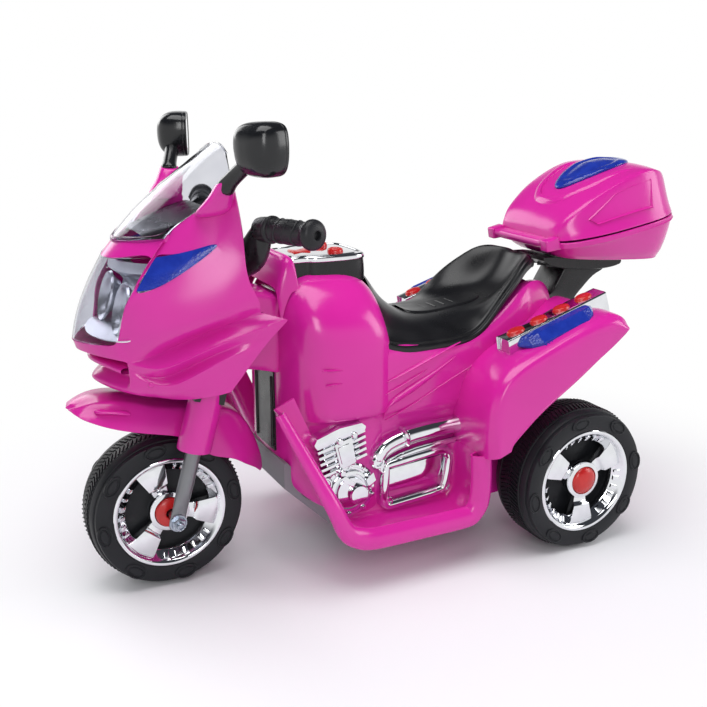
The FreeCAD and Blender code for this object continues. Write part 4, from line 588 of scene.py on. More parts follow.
WELL_WALL, WELL_EDGE, WELL_RIM = 84, 150, 18  # its wall and edge from the middle line, width of its rim
SHIELD_FOOT, SHIELD_SLOPE = 110, 0.424  # height from which the leg shield narrows, and how fast
WELL_PATH = (  # x and z along the foot well, down the leg shield, along the floor and up to the mudguard
    (176, 214), (166, 190), (154, 162), (143, 136), (131, 108), (122, 88), (112, 74), (97, 66), (75, 62.3),
    (20, 62), (-36, 62), (-50, 66), (-58, 76), (-61, 92), (-61.5, 112), (-60, 140))
WELL_SECTION = (  # share of the floor's width or distance from the edge, and height above the floor
    (0.0, 26), (0.08, 9), (0.22, 1.5), (0.6, 0), (-18, 0.2), (-13.5, 2.5), (-11.5, 8), (-9.5, 11),
    (-7.5, 11), (-2.5, 6.5), (0, -1), (-0.3, -6), (-2.5, -8.5), (-6, -9))
well_rows = []
for i, (x, z) in enumerate(WELL_PATH):
    along = heading(WELL_PATH, i)
    outer = WELL_EDGE - (max(0, z - SHIELD_FOOT) * SHIELD_SLOPE if x > 0 else 0)
    width = outer - (WELL_WALL + WELL_RIM)
    row = []
    for k, (spot, lift) in enumerate(WELL_SECTION):
        taper = min(1.0, 0.35 + 0.09 * i) if k > 3 else 1.0
        y = WELL_WALL + spot * width if k < 4 else outer + spot * taper
        row.append((x + along.y * lift * taper, y, z - along.x * lift * taper))
    well_rows.append(row)
foot_well = moulded(well_rows, 2, 2.5, folds=(("col", 7, 0.4), ("col", 8, 0.4)))

NECK_RIBS = ((120, 120, 330, 240), (150, 150, 331, 240), (176, 186, 337, 249), (204, 228, 343, 252),
    (224, 250, 344, 252.5), (228, 254.5, 344, 252.5))  # x at the top and at the foot, then their heights
neck_rows = []
for high_x, low_x, top, low in NECK_RIBS:
    rib = ((0, top), (26, top), (37, top - 2), (41, top - 8), (42, top - 40), (41, low + 8), (34, low),
        (0, low))
    neck_rows.append([(low_x + (high_x - low_x) * (z - low) / (top - low), y, z) for y, z in rib])
neck_rows.append([(x, 0.0, z - 0.01 * k) for k, (x, _, z) in enumerate(neck_rows[-1])])
neck = moulded(neck_rows, 2, folds=(("col", 2, 0.3), ("row", 5, 0.9)))
COLLAR_RIBS = (  # x, lean to the front and height
    (130, 0, 362), (131, 1, 371), (135, 2, 374), (141, 2, 371), (146, 4, 356), (150, 4, 340))
collar = moulded([[(x + lean, 0, z), (x + lean, 30, z), (x + lean, 44, z - 3), (x + lean, 50, z - 13),
    (x + lean - 3, 54, z - 38)] for x, lean, z in COLLAR_RIBS], 2)


def raised_line(path, lift, width):
    """Ridge that tapers to nothing at both ends, on the flank."""
    rows = []
    for i, (x, y, z) in enumerate(path):
        share = math.sin(math.pi * min(max(i / (len(path) - 1), 0.04), 0.96))
        rows.append([(x, y - 1.5, z + width * share), (x, y + lift * share, z + 0.2 * width * share),
            (x, y - 1.5, z - width * share)])
    return moulded(rows, 2)


RIDGES = (  # points along it, how far it stands out, half of its width
    (((46, 93.0, 226), (20, 92.4, 234), (-6, 93, 244), (-32, 93.5, 254), (-60, 92, 263)), 3.2, 2.6),
    (((46, 93.5, 212), (22, 92.5, 220), (0, 93.2, 230), (-14, 93.5, 236)), 2.6, 2.2),
    (((44, 93.5, 184), (38, 92.6, 197), (22, 92.5, 207), (-6, 93.5, 221), (-30, 94, 234),
        (-52, 93.6, 247)), 4.0, 6.0),
    (((122, 96.6, 253.0), (113, 96.6, 252.3), (104, 96.6, 251.6), (96, 96.6, 250.9)), 1.5, 1.5),
    (((118, 96.6, 235.4), (110, 96.6, 235.6), (103, 96.6, 235.8), (96, 96.6, 236.0)), 1.5, 1.5),
    (((42, 93.5, 182), (8, 92.6, 194), (-30, 94, 213), (-72, 93.6, 231), (-112, 92, 248)), 2.0, 1.6))
left_half = joined(tank, side_panel, foot_well, neck, collar, *[raised_line(*ridge) for ridge in RIDGES])
right_half = opposite(left_half)
fix("body_shell_left", left_half, pink_abs, "chassis", "body_left")
fix("body_shell_right", right_half, pink_abs, "chassis", "body_right")

# Engine and exhaust trims: chromed ABS mouldings screwed to the wall of each foot well,
# one shaped as a finned cylinder on a round case, the other as two pipes over a frame loop.
WALL = 88.0  # distance of the wall from the middle line; heights below are measured from it


def plate(outline, height, round_off=1.2, foot=-4):
    """Flat moulding on the wall with an outline in x and z, from its foot up to a height."""
    count = len(outline)
    points = [(x, WALL + up, z) for up in (foot, height) for x, z in outline]
    faces = [tuple(range(count))[::-1], tuple(range(count, 2 * count))]
    faces += [(i, (i + 1) % count, (i + 1) % count + count, i + count) for i in range(count)]
    return bevelled(mesh_of(points, faces), round_off)


def disc(centre, profile, steps=40):
    """Round moulding on the wall from radius and height pairs."""
    rows = [[(centre[0] + r * math.cos(a), WALL + up, centre[1] + r * math.sin(a)) for a in around(steps)]
        for r, up in profile]
    return closed(rows, 0)


def pipe(line, up, radius, squash=1.0):
    """Round bar along a line of x and z, at a height above the wall."""
    path, out, rows = [Vector((x, WALL + up, z)) for x, z in line], Vector((0, 1, 0)), []
    for i, here in enumerate(path):
        side = heading(path, i).cross(out).normalized()
        rows.append([tuple(here + side * radius * math.cos(a) + out * radius * squash * math.sin(a))
            for a in around(16)])
    return closed(rows, 1)


def in_line(seed, count, step, finish):
    """Copies of a seed mesh, each one step in millimetres further on."""
    return copied(seed, Count=count, Step=[c * MM for c in step], Finish=finish)


# outlines in x and z, and profiles as radius and height
BARREL = ((122, 170), (80, 181), (74, 150), (84, 130), (112, 134), (120, 146))
COVER = ((110, 166), (88, 172), (82, 140), (102, 134))
COVER_PAD = ((106, 162), (92, 165.5), (88, 145), (101, 141))
HEAD = ((136, 170), (132, 177), (104, 186), (76, 188), (70, 183), (72, 177), (100, 172), (132, 163))
CASE_FIN = ((104, 124), (98, 127), (84, 116), (88, 110))
CASE_STEP = ((70, 116), (60, 124), (56, 112), (66, 104))
FOOT_WEB = ((127, 121), (112, 128), (106, 98), (112, 85), (106, 80), (98, 76), (101, 86), (112, 107))
FRONT_FIN = ((130, 160), (106, 166), (105, 162.4), (129, 156.4))
REAR_FIN = ((84, 174), (70, 178), (69, 174.4), (83, 170.6))
CRANK_CASE = ((33, -4), (33, 5), (31.4, 7), (28.5, 7.2), (27.6, 5.6), (25.6, 5.6), (24.6, 9.4), (21.6, 10),
    (20.6, 8), (18.4, 8), (17.4, 12), (0.8, 12.6))
CASE_HUB = ((12, 8), (12, 16), (10.4, 17.6), (0.8, 18))
CASE_BOLT = ((2.4, 5), (2.4, 9), (1.8, 9.6), (0.4, 9.7))
OIL_PLUG = ((9.6, -4), (9.6, 8), (8.2, 10), (6.6, 10.2), (5.8, 8.6), (4.8, 8.6), (4.2, 10.8), (0.6, 11.2))
CAP_NUT = ((3.8, 8), (3.8, 16), (3.0, 17), (0.6, 17.2))
CASE_AT = (88, 104)
engine = [plate(BARREL, 6), plate(COVER, 13, 1.6), plate(COVER_PAD, 14.6, 1.0, 0), plate(HEAD, 15, 2.4),
    plate(CASE_FIN, 16, 1.4, 0), plate(CASE_STEP, 13, 1.6), plate(FOOT_WEB, 5, 1.4),
    disc(CASE_AT, CRANK_CASE), disc((80, 101), CASE_HUB), disc((120, 118), OIL_PLUG, 28)]
engine += [disc(place, CAP_NUT, 18) for place in ((104, 170), (86, 175), (101, 131))]
for fin, height, pace in ((FRONT_FIN, 11, -1.4), (REAR_FIN, 10, -0.6)):
    engine.append(in_line(plate(fin, height, 0.8), 5, (pace, 0, -7.4), chromed_abs))
engine.append(round_axle(disc((0, 29.8), CASE_BOLT, 12), 10, (CASE_AT[0], 0, CASE_AT[1]), chromed_abs))
fix("engine_trim_pair", pair(joined(*engine)), chromed_abs, "chassis", "engine_trims", sharp=30)

PIPE_LINE = ((52, 136), (44, 147), (30, 154), (10, 158.5), (-18, 160.5), (-58, 161))
SILENCER = ((14, 158), (8, 158.8), (-20, 161), (-52, 161.4), (-59, 161.3))
LONG_BAR = ((40, 126), (30, 130), (0, 137), (-54, 141))
FLANGE = ((8.6, -4), (8.6, 9), (7, 11), (4.6, 11.2), (4.0, 8), (0.6, 7.6))
LOOP_BOLT = ((6.6, -4), (6.6, 8.4), (5.4, 9.8), (3.8, 10), (3.2, 8), (0.6, 7.8))
LOOP_PLATE = ((34, 119), (-36, 125), (-38, 108), (-34, 97), (34, 92), (37, 100))
lower_line = [(x, z - 11 + 0.05 * (PIPE_LINE[0][0] - x)) for x, z in PIPE_LINE]
band_line = ((18, 157), (14, 157.8))
exhaust = [pipe(PIPE_LINE, 4, 8.6), pipe(lower_line, 2, 5.8), pipe(SILENCER, 4.5, 10.2, 1.05),
    pipe(band_line, 4.5, 11.4, 1.1), pipe(LONG_BAR, 3, 4.2), disc((52, 133), FLANGE, 28),
    plate(LOOP_PLATE, 4.5, 1.6)]
exhaust += [disc(place, LOOP_BOLT, 24) for place in ((44, 124), (-45, 126), (-42, 84), (38, 80))]
LOOP_LINE = ((40, 122), (34, 126), (0, 130), (-34, 132), (-44, 128), (-47, 118), (-43, 92), (-38, 82),
    (-28, 79), (20, 75), (36, 74), (42, 79), (42, 96))
LOOP_SECTION = ((-6, -4), (-6, 5), (-3.6, 9.4), (0, 10.6), (3.6, 9.4), (6, 5), (6, -4))  # across and up
rows = []
for i, (x, z) in enumerate(LOOP_LINE):
    before, after = Vector(LOOP_LINE[i - 1]), Vector(LOOP_LINE[(i + 1) % len(LOOP_LINE)])
    out = Vector((before.y - after.y, after.x - before.x)).normalized()
    rows.append([(x + out.x * w, WALL + up, z + out.y * w) for w, up in LOOP_SECTION])
exhaust.append(moulded(rows + rows[:1], 1, loop=True))
fix("exhaust_trim_pair", pair(joined(*exhaust)), chromed_abs, "chassis", "exhaust_trims", sharp=30)

# Rear mudguards: pink ABS shells over the rear wheels, with a rounded front down to the foot well,
# a flat outer cheek and a tail that ends in a point; screwed to the body behind the seat.
CHEEK_LINE = (  # x and z of the cheek's upper edge, from the foot well to the tail, then of its lower edge
    ((-58, 138), (-86, 146)), ((-56, 158), (-88, 152)), ((-56, 178), (-93, 158)), ((-60, 204), (-104, 168)),
    ((-72, 229), (-118, 180)), ((-94, 247), (-134, 192)), ((-124, 261), (-151, 203)),
    ((-160, 275), (-176, 219)), ((-192, 286), (-200, 236)), ((-220, 292), (-213, 245)),
    ((-238, 291.5), (-225, 253)), ((-248, 286), (-236, 261)), ((-252, 279), (-245, 268)))
guard_rows = []
for (x, z), (low_x, low_z) in CHEEK_LINE:
    inner = max(46.0, 84.0 - max(0, -x - 130) * 0.35)  # the body narrows to the tail
    down = Vector((low_x - x, low_z - z))
    fall = down.normalized() * min(1, down.length / 30)
    guard_rows.append([(x, inner, z), (x, 0.5 * (inner + 150), z + 0.6), (x, 150, z),
        (x + fall.x * 3, 161, z + fall.y * 3), (x + fall.x * 10, 167.5, z + fall.y * 10),
        (x + 0.55 * down.x, 168, z + 0.55 * down.y), (low_x, 166.5, low_z),
        (low_x - fall.x * 2, 163, low_z - fall.y * 2)])
guard_left = moulded(guard_rows, 3, 2.5, folds=(("col", 6, 0.6),))
guard_right = opposite(guard_left)
fix("rear_guard_left", guard_left, pink_abs, "chassis", "rear_mudguard_left")
fix("rear_guard_right", guard_right, pink_abs, "chassis", "rear_mudguard_right")

# Light bars: a chromed bar on each mudguard with four red ovals on top
# and a faceted blue lens with a ribbed lower edge on its outer side.
SLOPE, BAR_X, BAR_Z = math.radians(17.5), -102, 250  # slant of the bars and their front end
BAR_INNER, BAR_OUTER, BAR_FOOT, BAR_TOP = 109, 134, -6.0, 20.0  # sides, foot and top of the left bar
END_ROUND, END_LEAN = 1.5, 6  # how much its ends draw in, and how far the front end leans back


def on_bar(along, y, up):
    """Point of a light bar: along it from its front end, across, and up from its foot."""
    return (BAR_X - along * math.cos(SLOPE) + up * math.sin(SLOPE), y,
        BAR_Z + along * math.sin(SLOPE) + up * math.cos(SLOPE))


bar_rows = []
for along, grow in ((0, 0), (1.5, 1), (8, 1), (75, 1), (141, 1), (147.5, 1), (149, 0)):
    less = END_ROUND * (1 - grow)
    inner, outer, high = BAR_INNER + less, BAR_OUTER - less, BAR_TOP - less
    lean = END_LEAN if along < 4 else 0
    section = ((inner, BAR_FOOT), (inner, high - 2), (inner + 2, high), (outer - 2, high),
        (outer, high - 2), (outer, BAR_FOOT))
    bar_rows.append([on_bar(along + (lean if up > 10 else 0), y, up) for y, up in section])
bar_folds = [("col", k, 0.5) for k in (1, 2, 3, 4)] + [("col", 0, 0.9), ("col", 5, 0.9)]
bar_folds += [("row", 1, 0.5), ("row", 5, 0.5), ("row", 0, 0.8), ("row", 6, 0.8)]
bar_left = closed(bar_rows, 2, folds=bar_folds)
fix("light_bar_pair", pair(bar_left), chromed_abs, "chassis", "light_bars")

OVAL = ((1.0, 18), (1.0, 20.8), (0.93, 22.6), (0.75, 23.6), (0.4, 24.2), (0.03, 24.4))  # size and height
OVAL_AT, OVAL_Y, OVAL_PITCH = 22, 121.5, 34  # the first one's place along and across, and their distance
OVAL_LONG, OVAL_WIDE = 11.5, 8.2  # half of its length and width
oval_rows = [[on_bar(OVAL_AT + OVAL_LONG * r * math.cos(a), OVAL_Y + OVAL_WIDE * r * math.sin(a), up)
    for a in around(24)] for r, up in OVAL]
pace = Vector(on_bar(OVAL_PITCH, 0, 0)) - Vector(on_bar(0, 0, 0))
ovals = in_line(closed(oval_rows, 1), 4, pace, red_abs)
fix("lamp_oval_pair", pair(ovals), red_abs, "chassis", "bar_lamps")

# Seat: hollow saddle blown in black polyethylene with a soft leather-like grain, a bead round its edge,
# an embossed pad on the sitting face and a raised bowl at the back; it clips into the body.

# satin black with a fine hide pattern: 1.8 mm cells pressed by the mould, 30 mm patches polished by sitting
grained_black = surface("grained_black", tint=(("NOISE", 30), "0e0e10", "1b1b1e"),
    gloss=(("NOISE", 30), 0.3, 0.7, 0.26, 0.36), relief=(("DISTANCE_TO_EDGE", 1.8), 0.1, 0.25), IOR=1.5,
    Specular_IOR_Level=0.4)

SEAT_STATIONS = (  # x in the middle and at the edge, then y and z across the sitting face, out to the bead
    (30, 40, (0, 341), (18, 339), (38, 330), (60, 309), (77, 281)),
    (23, 34, (0, 334), (18, 332), (38, 323), (60, 303), (78, 277)),
    (10, 22, (0, 315), (18, 314), (38, 307), (60, 292), (79, 273)),
    (-8, 2, (0, 298), (19, 297), (39, 293), (61, 284), (80, 270)),
    (-30, -25, (0, 287), (20, 287), (40, 285), (62, 279), (80, 269)),
    (-60, -58, (0, 285), (21, 285), (41, 284), (62, 279), (80, 270)),
    (-88, -88, (0, 288), (21, 288), (41, 287), (60, 284), (78, 277)),
    (-112, -112, (0, 291), (21, 291), (40, 291), (57, 295), (74, 297)),
    (-132, -134, (0, 294), (20, 294.5), (38, 297), (54, 308), (69, 317)),
    (-150, -154, (0, 298), (19, 299), (36, 305), (50, 321), (62, 332)),
    (-166, -170, (0, 306), (17, 308), (32, 317), (44, 334), (54, 343)),
    (-180, -184, (0, 319), (15, 321), (28, 330), (38, 343), (46, 348)),
    (-191, -194, (0, 334), (12, 335), (23, 340), (31, 347), (37, 348)),
    (-199, -201, (0, 345), (9, 345), (17, 346), (23, 347), (28, 345)))
# the rolled edge, out and up
BEAD = ((3.5, -1.6), (5.2, -4.6), (6.2, -5.0), (9.4, -5.6), (10.6, -9.5), (9.0, -14), (3.0, -16))
seat_rows = []
for middle, edge, *face in SEAT_STATIONS:
    rim, crest = face[-1]
    face = face + [(rim + out, crest + up) for out, up in BEAD]
    seat_rows.append([(middle + (edge - middle) * min(1, y / rim), y, z) for y, z in face])
seat_rows.append([(-208, 0.55 * y, z - 4) for _, y, z in seat_rows[-1]])
seat_rows.append([(-211, 0, z - 10) for _, _, z in seat_rows[-2]])
saddle = moulded(seat_rows, 2, both=True, folds=(("col", 4, 0.35), ("col", 6, 0.6), ("col", 7, 0.6),
    ("col", 10, 0.3)))


def sitting_height(x):
    """Height of the seat's middle line."""
    for first, second in zip(SEAT_STATIONS, SEAT_STATIONS[1:]):
        if second[0] <= x <= first[0]:
            share = (first[0] - x) / (first[0] - second[0])
            return first[2][1] + share * (second[2][1] - first[2][1])


pad_rows = []
for x, half in ((-24, 6), (-26, 16), (-36, 22), (-64, 25), (-100, 26), (-120, 24), (-134, 17), (-138, 6)):
    high = sitting_height(x)
    pad_rows.append([(x, 0, high + 1.6), (x, half * 0.6, high + 1.6), (x, half * 0.9, high + 1.3),
        (x, half, high + 0.3), (x, half + 1.5, high - 1.5)])
pad = moulded(pad_rows, 2, both=True, folds=(("col", 2, 0.5), ("col", 3, 0.5)))
high = sitting_height(-60)
dash_rows = [[(-58.8, y, high + 1.0), (-60, y, high + 2.5), (-61.2, y, high + 1.0)]
    for y in (-11, -9, 0, 9, 11)]
dashes = in_line(moulded(dash_rows, 1), 5, (-13, 0, 1.3), grained_black)
fix("saddle_moulding", joined(saddle, pad, dashes), grained_black, "chassis", "seat", sharp=45)

# Dash: black ABS foot that follows the tank's dome, with a chromed ABS panel on top,
# two round red push buttons and a red rocker.

# black moulding with a fine spark texture: 0.5 mm grain, 18 mm patches that shine a little more
satin_black_abs = surface("satin_black_abs", tint=(("NOISE", 18), "121214", "1f1f22"),
    gloss=(("NOISE", 18), 0.3, 0.7, 0.24, 0.34), relief=(("NOISE", 0.5), 0.06, 0.15), IOR=1.53,
    Specular_IOR_Level=0.35)


def outline_rings(line, levels):
    """Rows for a moulding: the outline of half a piece at several heights, drawn in a little at each."""
    centre = sum(x for x, _ in line) / len(line)
    return [[(centre + (x - centre) * s, y * s, z) for x, y in line] for s, z in levels]


DASH_LINE = ((138, 0), (138, 20), (133, 32), (124, 36), (112, 36), (104, 41), (84, 44), (58, 44), (44, 40),
    (37, 28), (36, 0))
FOOT_LEVELS = ((1.0, 338), (1.0, 352), (0.985, 362), (0.985, 365), (0.9, 365))  # size and height
TILE_LEVELS = ((0.99, 363.5), (1.005, 364.5), (1.005, 367), (0.985, 369.2), (0.93, 370), (0.9, 368.8),
    (0.84, 368.6), (0.81, 369.8), (0.5, 370), (0.1, 370))
foot = moulded(outline_rings(DASH_LINE, FOOT_LEVELS), 2, both=True, folds=(("row", 3, 0.8),))
fix("dash_foot", joined(foot), satin_black_abs, "chassis", "dash_base")
tile = moulded(outline_rings(DASH_LINE, TILE_LEVELS), 2, both=True, folds=(("row", 2, 0.4),
    *(("row", k, 0.5) for k in (4, 5, 6, 7))))
fix("dash_tile", joined(tile), chromed_abs, "chassis", "dash_panel")
BUTTON_X = 70
for body, node, y in (("horn", "horn_button", 22), ("music", "music_button", -22)):
    dome = [[(BUTTON_X + r * math.cos(a), y + r * math.sin(a), z) for a in around(32)]
        for r, z in ((8.9, 365.2), (8.9, 372.2), (8.2, 374), (6.2, 374.9), (5.4, 374.2), (3, 374.4),
        (0.3, 374.6))]
    fix(f"{body}_push", joined(closed(dome, 1, folds=(("row", 4, 0.4),))), red_abs, body, node)
rocker_rows = [[(x, y, z) for x, z in ((94.4, 364), (94.4, 369), (96, 371.6), (105, 370.4), (107, 370.4),
    (116, 371.8), (117.6, 369), (117.6, 364))] for y in (-9.6, 9.6)]
rocker = bevelled(closed(rocker_rows, 0), 0.8)
fix("rocker_cap", rocker, red_abs, "rocker", "drive_switch")

# Front mudguard: pink ABS arch over the front wheel with a pointed visor, a tail behind the wheel
# and a boot over each fork leg, screwed up under the fork crown.
GUARD_ARCH = (  # middle of the back, shoulder and lower edge of each rib, from the visor to the tail
    ((382, 0, 222), (380.5, 6, 221.5), (379, 11, 221)), ((373, 0, 228.5), (371, 18, 226), (372, 31, 218.5)),
    ((350, 0, 233), (348, 26, 230), (347, 41, 207)), ((320, 0, 231), (319, 30, 226), (316, 44, 197)),
    ((290, 0, 223), (290, 32, 217), (288, 45, 190)), ((260, 0, 218), (258, 32, 211), (262, 45, 180)),
    ((232, 0, 214), (230, 31, 206), (238, 44, 158)), ((203, 0, 203), (202, 29, 196), (212, 42, 148)),
    ((183, 0, 180), (183, 27, 174), (194, 40, 137)), ((170, 0, 146), (170, 23, 141), (180, 32, 127)),
    ((165, 0, 124), (165, 16, 121), (171, 24, 118)))
ribs = []
for back, shoulder, edge in GUARD_ARCH:
    flank = tuple(0.45 * a + 0.55 * b for a, b in zip(shoulder, edge))
    ribs.append([back, (shoulder[0], shoulder[1] * 0.6, 0.4 * shoulder[2] + 0.6 * back[2]), shoulder,
        (flank[0], flank[1] + 1.5, flank[2]), edge])
guard = moulded(ribs, 3, 2.5, both=True, folds=(("col", 2, 0.35),))
RAKE, AXLE_X, AXLE_Z = math.radians(16), 282, 90  # lean of the fork and its foot


def on_fork(height, y, out, ahead):
    """Point beside the fork leg, at a height above the axle, out from its middle and ahead of it."""
    return (AXLE_X - height * math.tan(RAKE) + ahead, y + out, AXLE_Z + height)


BOOT_Y, BOOT_SLOPE = 54, 0.22  # distance from the middle line, and slant of its edges
boot_rows = []
for height, radius in ((81, 16.5), (81.5, 18.2), (84, 19), (104, 19), (130, 18.5), (146, 17)):
    boot_rows.append([on_fork(height + BOOT_SLOPE * radius * math.cos(a), BOOT_Y, radius * math.sin(a),
        radius * 1.04 * math.cos(a)) for a in around(16)])
boot = moulded(boot_rows, 2, loop=True, folds=(("row", 1, 0.4),))
rib_path = ((356, 33.5, 224), (346, 37, 223), (334, 40, 221.5), (324, 41.5, 219.5))
side_rib = closed([[(x, y - 3, z + 2.2), (x, y + 2.4, z + 1.2), (x, y + 2.6, z - 1.2), (x, y - 3, z - 2.2)]
    for x, y, z in rib_path], 2)
fix("front_guard", joined(guard, pair(boot, side_rib)), pink_abs, "steering", "front_mudguard")

# Fairing: one glossy pink moulding screwed to the steering, with a deep chin slot, two gills swept back
# along each cheek, a wing point behind them and a socket for each mirror; walls 2.5 mm thick.
FAIRING_NET = (  # rows from the screen's edge down to the chin, points from the nose back to the rear edge
    ((317, 0, 400), (306, 33, 403), (281, 65, 408), (277, 67, 412), (268, 72, 422), (245, 80, 438),
        (224, 86, 451), (215, 92, 456)),
    ((331, 0, 384), (320, 34, 386), (295, 65, 389), (292, 67, 389.5), (276, 77, 393), (256, 87, 398),
        (235, 95, 402), (213, 103, 424)),
    ((348, 0, 352), (338, 40, 354), (318, 70, 357), (314.5, 72, 357.8), (294, 81, 362), (262, 90, 381),
        (235, 95, 402), (211, 106, 398)),
    ((361, 0, 324), (350, 36, 326), (329, 66, 331), (323, 70, 332), (298, 84, 337), (264, 96, 347),
        (232, 105, 360), (209, 110, 368)),
    ((368, 0, 297), (356, 33, 298), (336, 58, 302), (329, 63, 303), (302, 82, 309), (263, 98, 321),
        (226, 108, 334), (199, 112, 344)),
    ((365, 0, 287), (353, 33, 286), (334, 57, 284), (326, 62, 283), (304, 68, 286), (270, 78, 301),
        (231, 92, 316), (195, 106, 330)),
    ((352, 0, 286), (342, 32, 285), (326, 52, 281), (325, 61, 280), (299, 79, 276), (270, 93, 287),
        (226, 107, 306), (170, 117, 322)),
    ((336, 0, 283), (328, 31, 281), (317, 51, 277), (325, 60, 275), (297, 69, 263), (262, 80, 276),
        (224, 99, 295), (181, 112, 308)),
    ((337, 0, 265), (329, 31, 263), (317, 51, 261), (324, 60, 266), (292, 78, 256), (261, 90, 268),
        (222, 103, 287), (190, 108, 297)),
    ((350, 0, 255), (340, 32, 253), (327, 54, 251), (321, 61, 257), (287, 77, 248), (255, 87, 253),
        (225, 95, 264), (203, 103, 279)),
    ((348, 0, 249), (336, 32, 246), (319, 54, 244), (312, 61, 246), (282, 74, 242), (252, 83, 243),
        (230, 91, 250), (214, 98, 262)),
    ((335, 0, 243), (322, 30, 241), (305, 52, 239), (298, 58, 239), (274, 70, 236), (251, 81, 238),
        (237, 88, 241), (226, 92, 244)))
lamp_cells = [(row, column) for row in (1, 2, 3) for column in (0, 1)]
indicator_cells = [(1, 3), (1, 4), (1, 5)]
cowl = moulded(FAIRING_NET, 3, 2.5, gaps=lamp_cells + indicator_cells, both=True,
    folds=(("row", 4, 0.3), ("row", 5, 0.9), ("row", 6, 0.9), ("row", 7, 0.5), ("row", 8, 0.85),
    ("row", 9, 0.3), ("col", 0, 0.35), ("col", 3, 0.3)))
vane = moulded([[(x, y, z + 4), (x + 15, y * 1.06, z + 3), (x + 17.5, y * 1.07, z),
    (x + 15, y * 1.06, z - 3), (x, y, z - 4)] for x, y, z in ((336, 0, 276), (328, 28, 274.5),
    (319, 44, 272), (314, 50, 270))], 2, both=True)
sockets = []
for x, y, z, long, wide in ((238, 86, 432, 17, 10), (231, 92, 446, 14, 10), (227, 97, 458, 11, 10),
        (225, 99, 463, 10, 9)):
    sockets.append([(x + long * a, y + wide * b, z + 2 * b) for a, b in ((1, 0), (0.8, 0.8), (0, 1),
        (-0.8, 0.8), (-1, 0), (-0.8, -0.8), (0, -1), (0.8, -0.8))])
socket = closed(sockets, 2, folds=(("row", 3, 0.7),))
boss = closed([[(305 + r * math.cos(a), 70.5 + up, 257 + r * math.sin(a))
    for a in (0, 1.05, 2.09, 3.14, 4.19, 5.24)] for r, up in ((3.4, -6), (3.0, 0.4), (1.6, 1.7),
    (0.4, 1.9))], 2)
fix("fairing_cowl", joined(cowl, vane, pair(socket, boss)), pink_abs, "steering", "fairing", sharp=40)

# Lamp glass and screen: clear polycarbonate, vacuum formed to the fairing's curve and clipped into it;
# the screen has a thick bright lip along its foot and a crease across the middle.

# clear sheet with a grey cast: 20 mm ripple from the forming, 3 mm smears in the gloss
clear_polycarbonate = surface("clear_polycarbonate", tint=(("NOISE", 20, 1.0), "d3d4dc", "e3e4ea"),
    gloss=(("NOISE", 3), 0.0, 1.0, 0.02, 0.07), relief=(("NOISE", 20, 1.0), 0.05, 0.6),
    Transmission_Weight=1.0, IOR=1.2)

lens_net = [[(x + 0.6, y + 0.4 if y else 0.0, z) for x, y, z in row[:3]] for row in FAIRING_NET[1:5]]
fix("lamp_glass", moulded(lens_net, 3, 2.0, both=True, folds=(("col", 0, 0.3),)), clear_polycarbonate,
    "steering", "headlight_lens")

SCREEN_NET = (  # rows from the foot up to the point, from the middle line out
    ((318.5, 0, 400), (307.5, 33, 403), (283, 66, 408)), ((316, 0, 404), (305, 34, 407), (280, 67.5, 412)),
    ((293, 0, 426), (285, 37, 427), (269, 73, 422.5)), ((267, 0, 448), (260, 42, 446), (249, 79, 436)),
    ((259, 0, 455), (253, 43, 452), (241, 82, 442)), ((231, 0, 476), (227, 40, 471), (217, 85, 455)),
    ((205, 0, 494.5), (205, 24, 492), (206, 45, 485)), ((201, 0, 497), (201, 20, 495), (202, 40, 488)))
screen = moulded(SCREEN_NET, 3, 2.2, both=True, folds=(("row", 3, 0.35), ("row", 4, 0.35), ("col", 0, 0.2)))
lip_rows = []
for x, y, z in ((318, 0, 400), (312, 19, 401.5), (303, 38, 403.5), (286, 63, 408), (274, 70, 417)):
    lip_rows.append([(x + a, y, z + b) for a, b in ((-2, -2.5), (1.6, -2.5), (3.0, 0.0), (2.4, 2.6),
        (-1.5, 3.2))])
lip = moulded(lip_rows, 2, both=True, loop=True)
fix("screen_moulding", joined(screen, lip), clear_polycarbonate, "steering", "windscreen")

# Indicators: leaf-shaped lenses in blue polycarbonate, drawn on the fairing's own net,
# let into a cut-out behind the lamp and held by clips from inside.

# dyed clear plastic: 12 mm depth clouds, 2.2 mm prism cells moulded in the inner face
blue_polycarbonate = surface("blue_polycarbonate", tint=(("NOISE", 12), "1b2f9e", "2f50d2"),
    gloss=(("NOISE", 12), 0.0, 1.0, 0.05, 0.12), relief=(("F1", 2.2), 0.35, 0.6), Transmission_Weight=0.35,
    IOR=1.5)

leaf_net = [[(x + 0.3, y + 0.5, z) for x, y, z in row[3:7]] for row in FAIRING_NET[1:3]]
middle_row = [tuple((a + b) / 2 + (0.8 if axis == 1 else 0.4) for axis, (a, b) in enumerate(zip(p, q)))
    for p, q in zip(*leaf_net)]
middle_row[3] = leaf_net[0][3]
leaf = moulded([leaf_net[0], middle_row, leaf_net[1]], 3, 2.0)
fix("indicator_leaves", pair(leaf), blue_polycarbonate, "steering", "indicator_lenses")

# Lamp unit: a chromed reflector with two stepped bowls, tucked behind the lamp glass,
# with a clear bulb cup in each bowl.

# vacuum-coated bowl: satin silver with 8 mm waves of the coating and 0.6 mm specks in the gloss
aluminised_abs = surface("aluminised_abs", tint=(("NOISE", 8, 1.0), "dfe2ea", "f1f3f8"),
    gloss=(("NOISE", 0.6), 0.3, 0.7, 0.26, 0.36), Metallic=0.85)

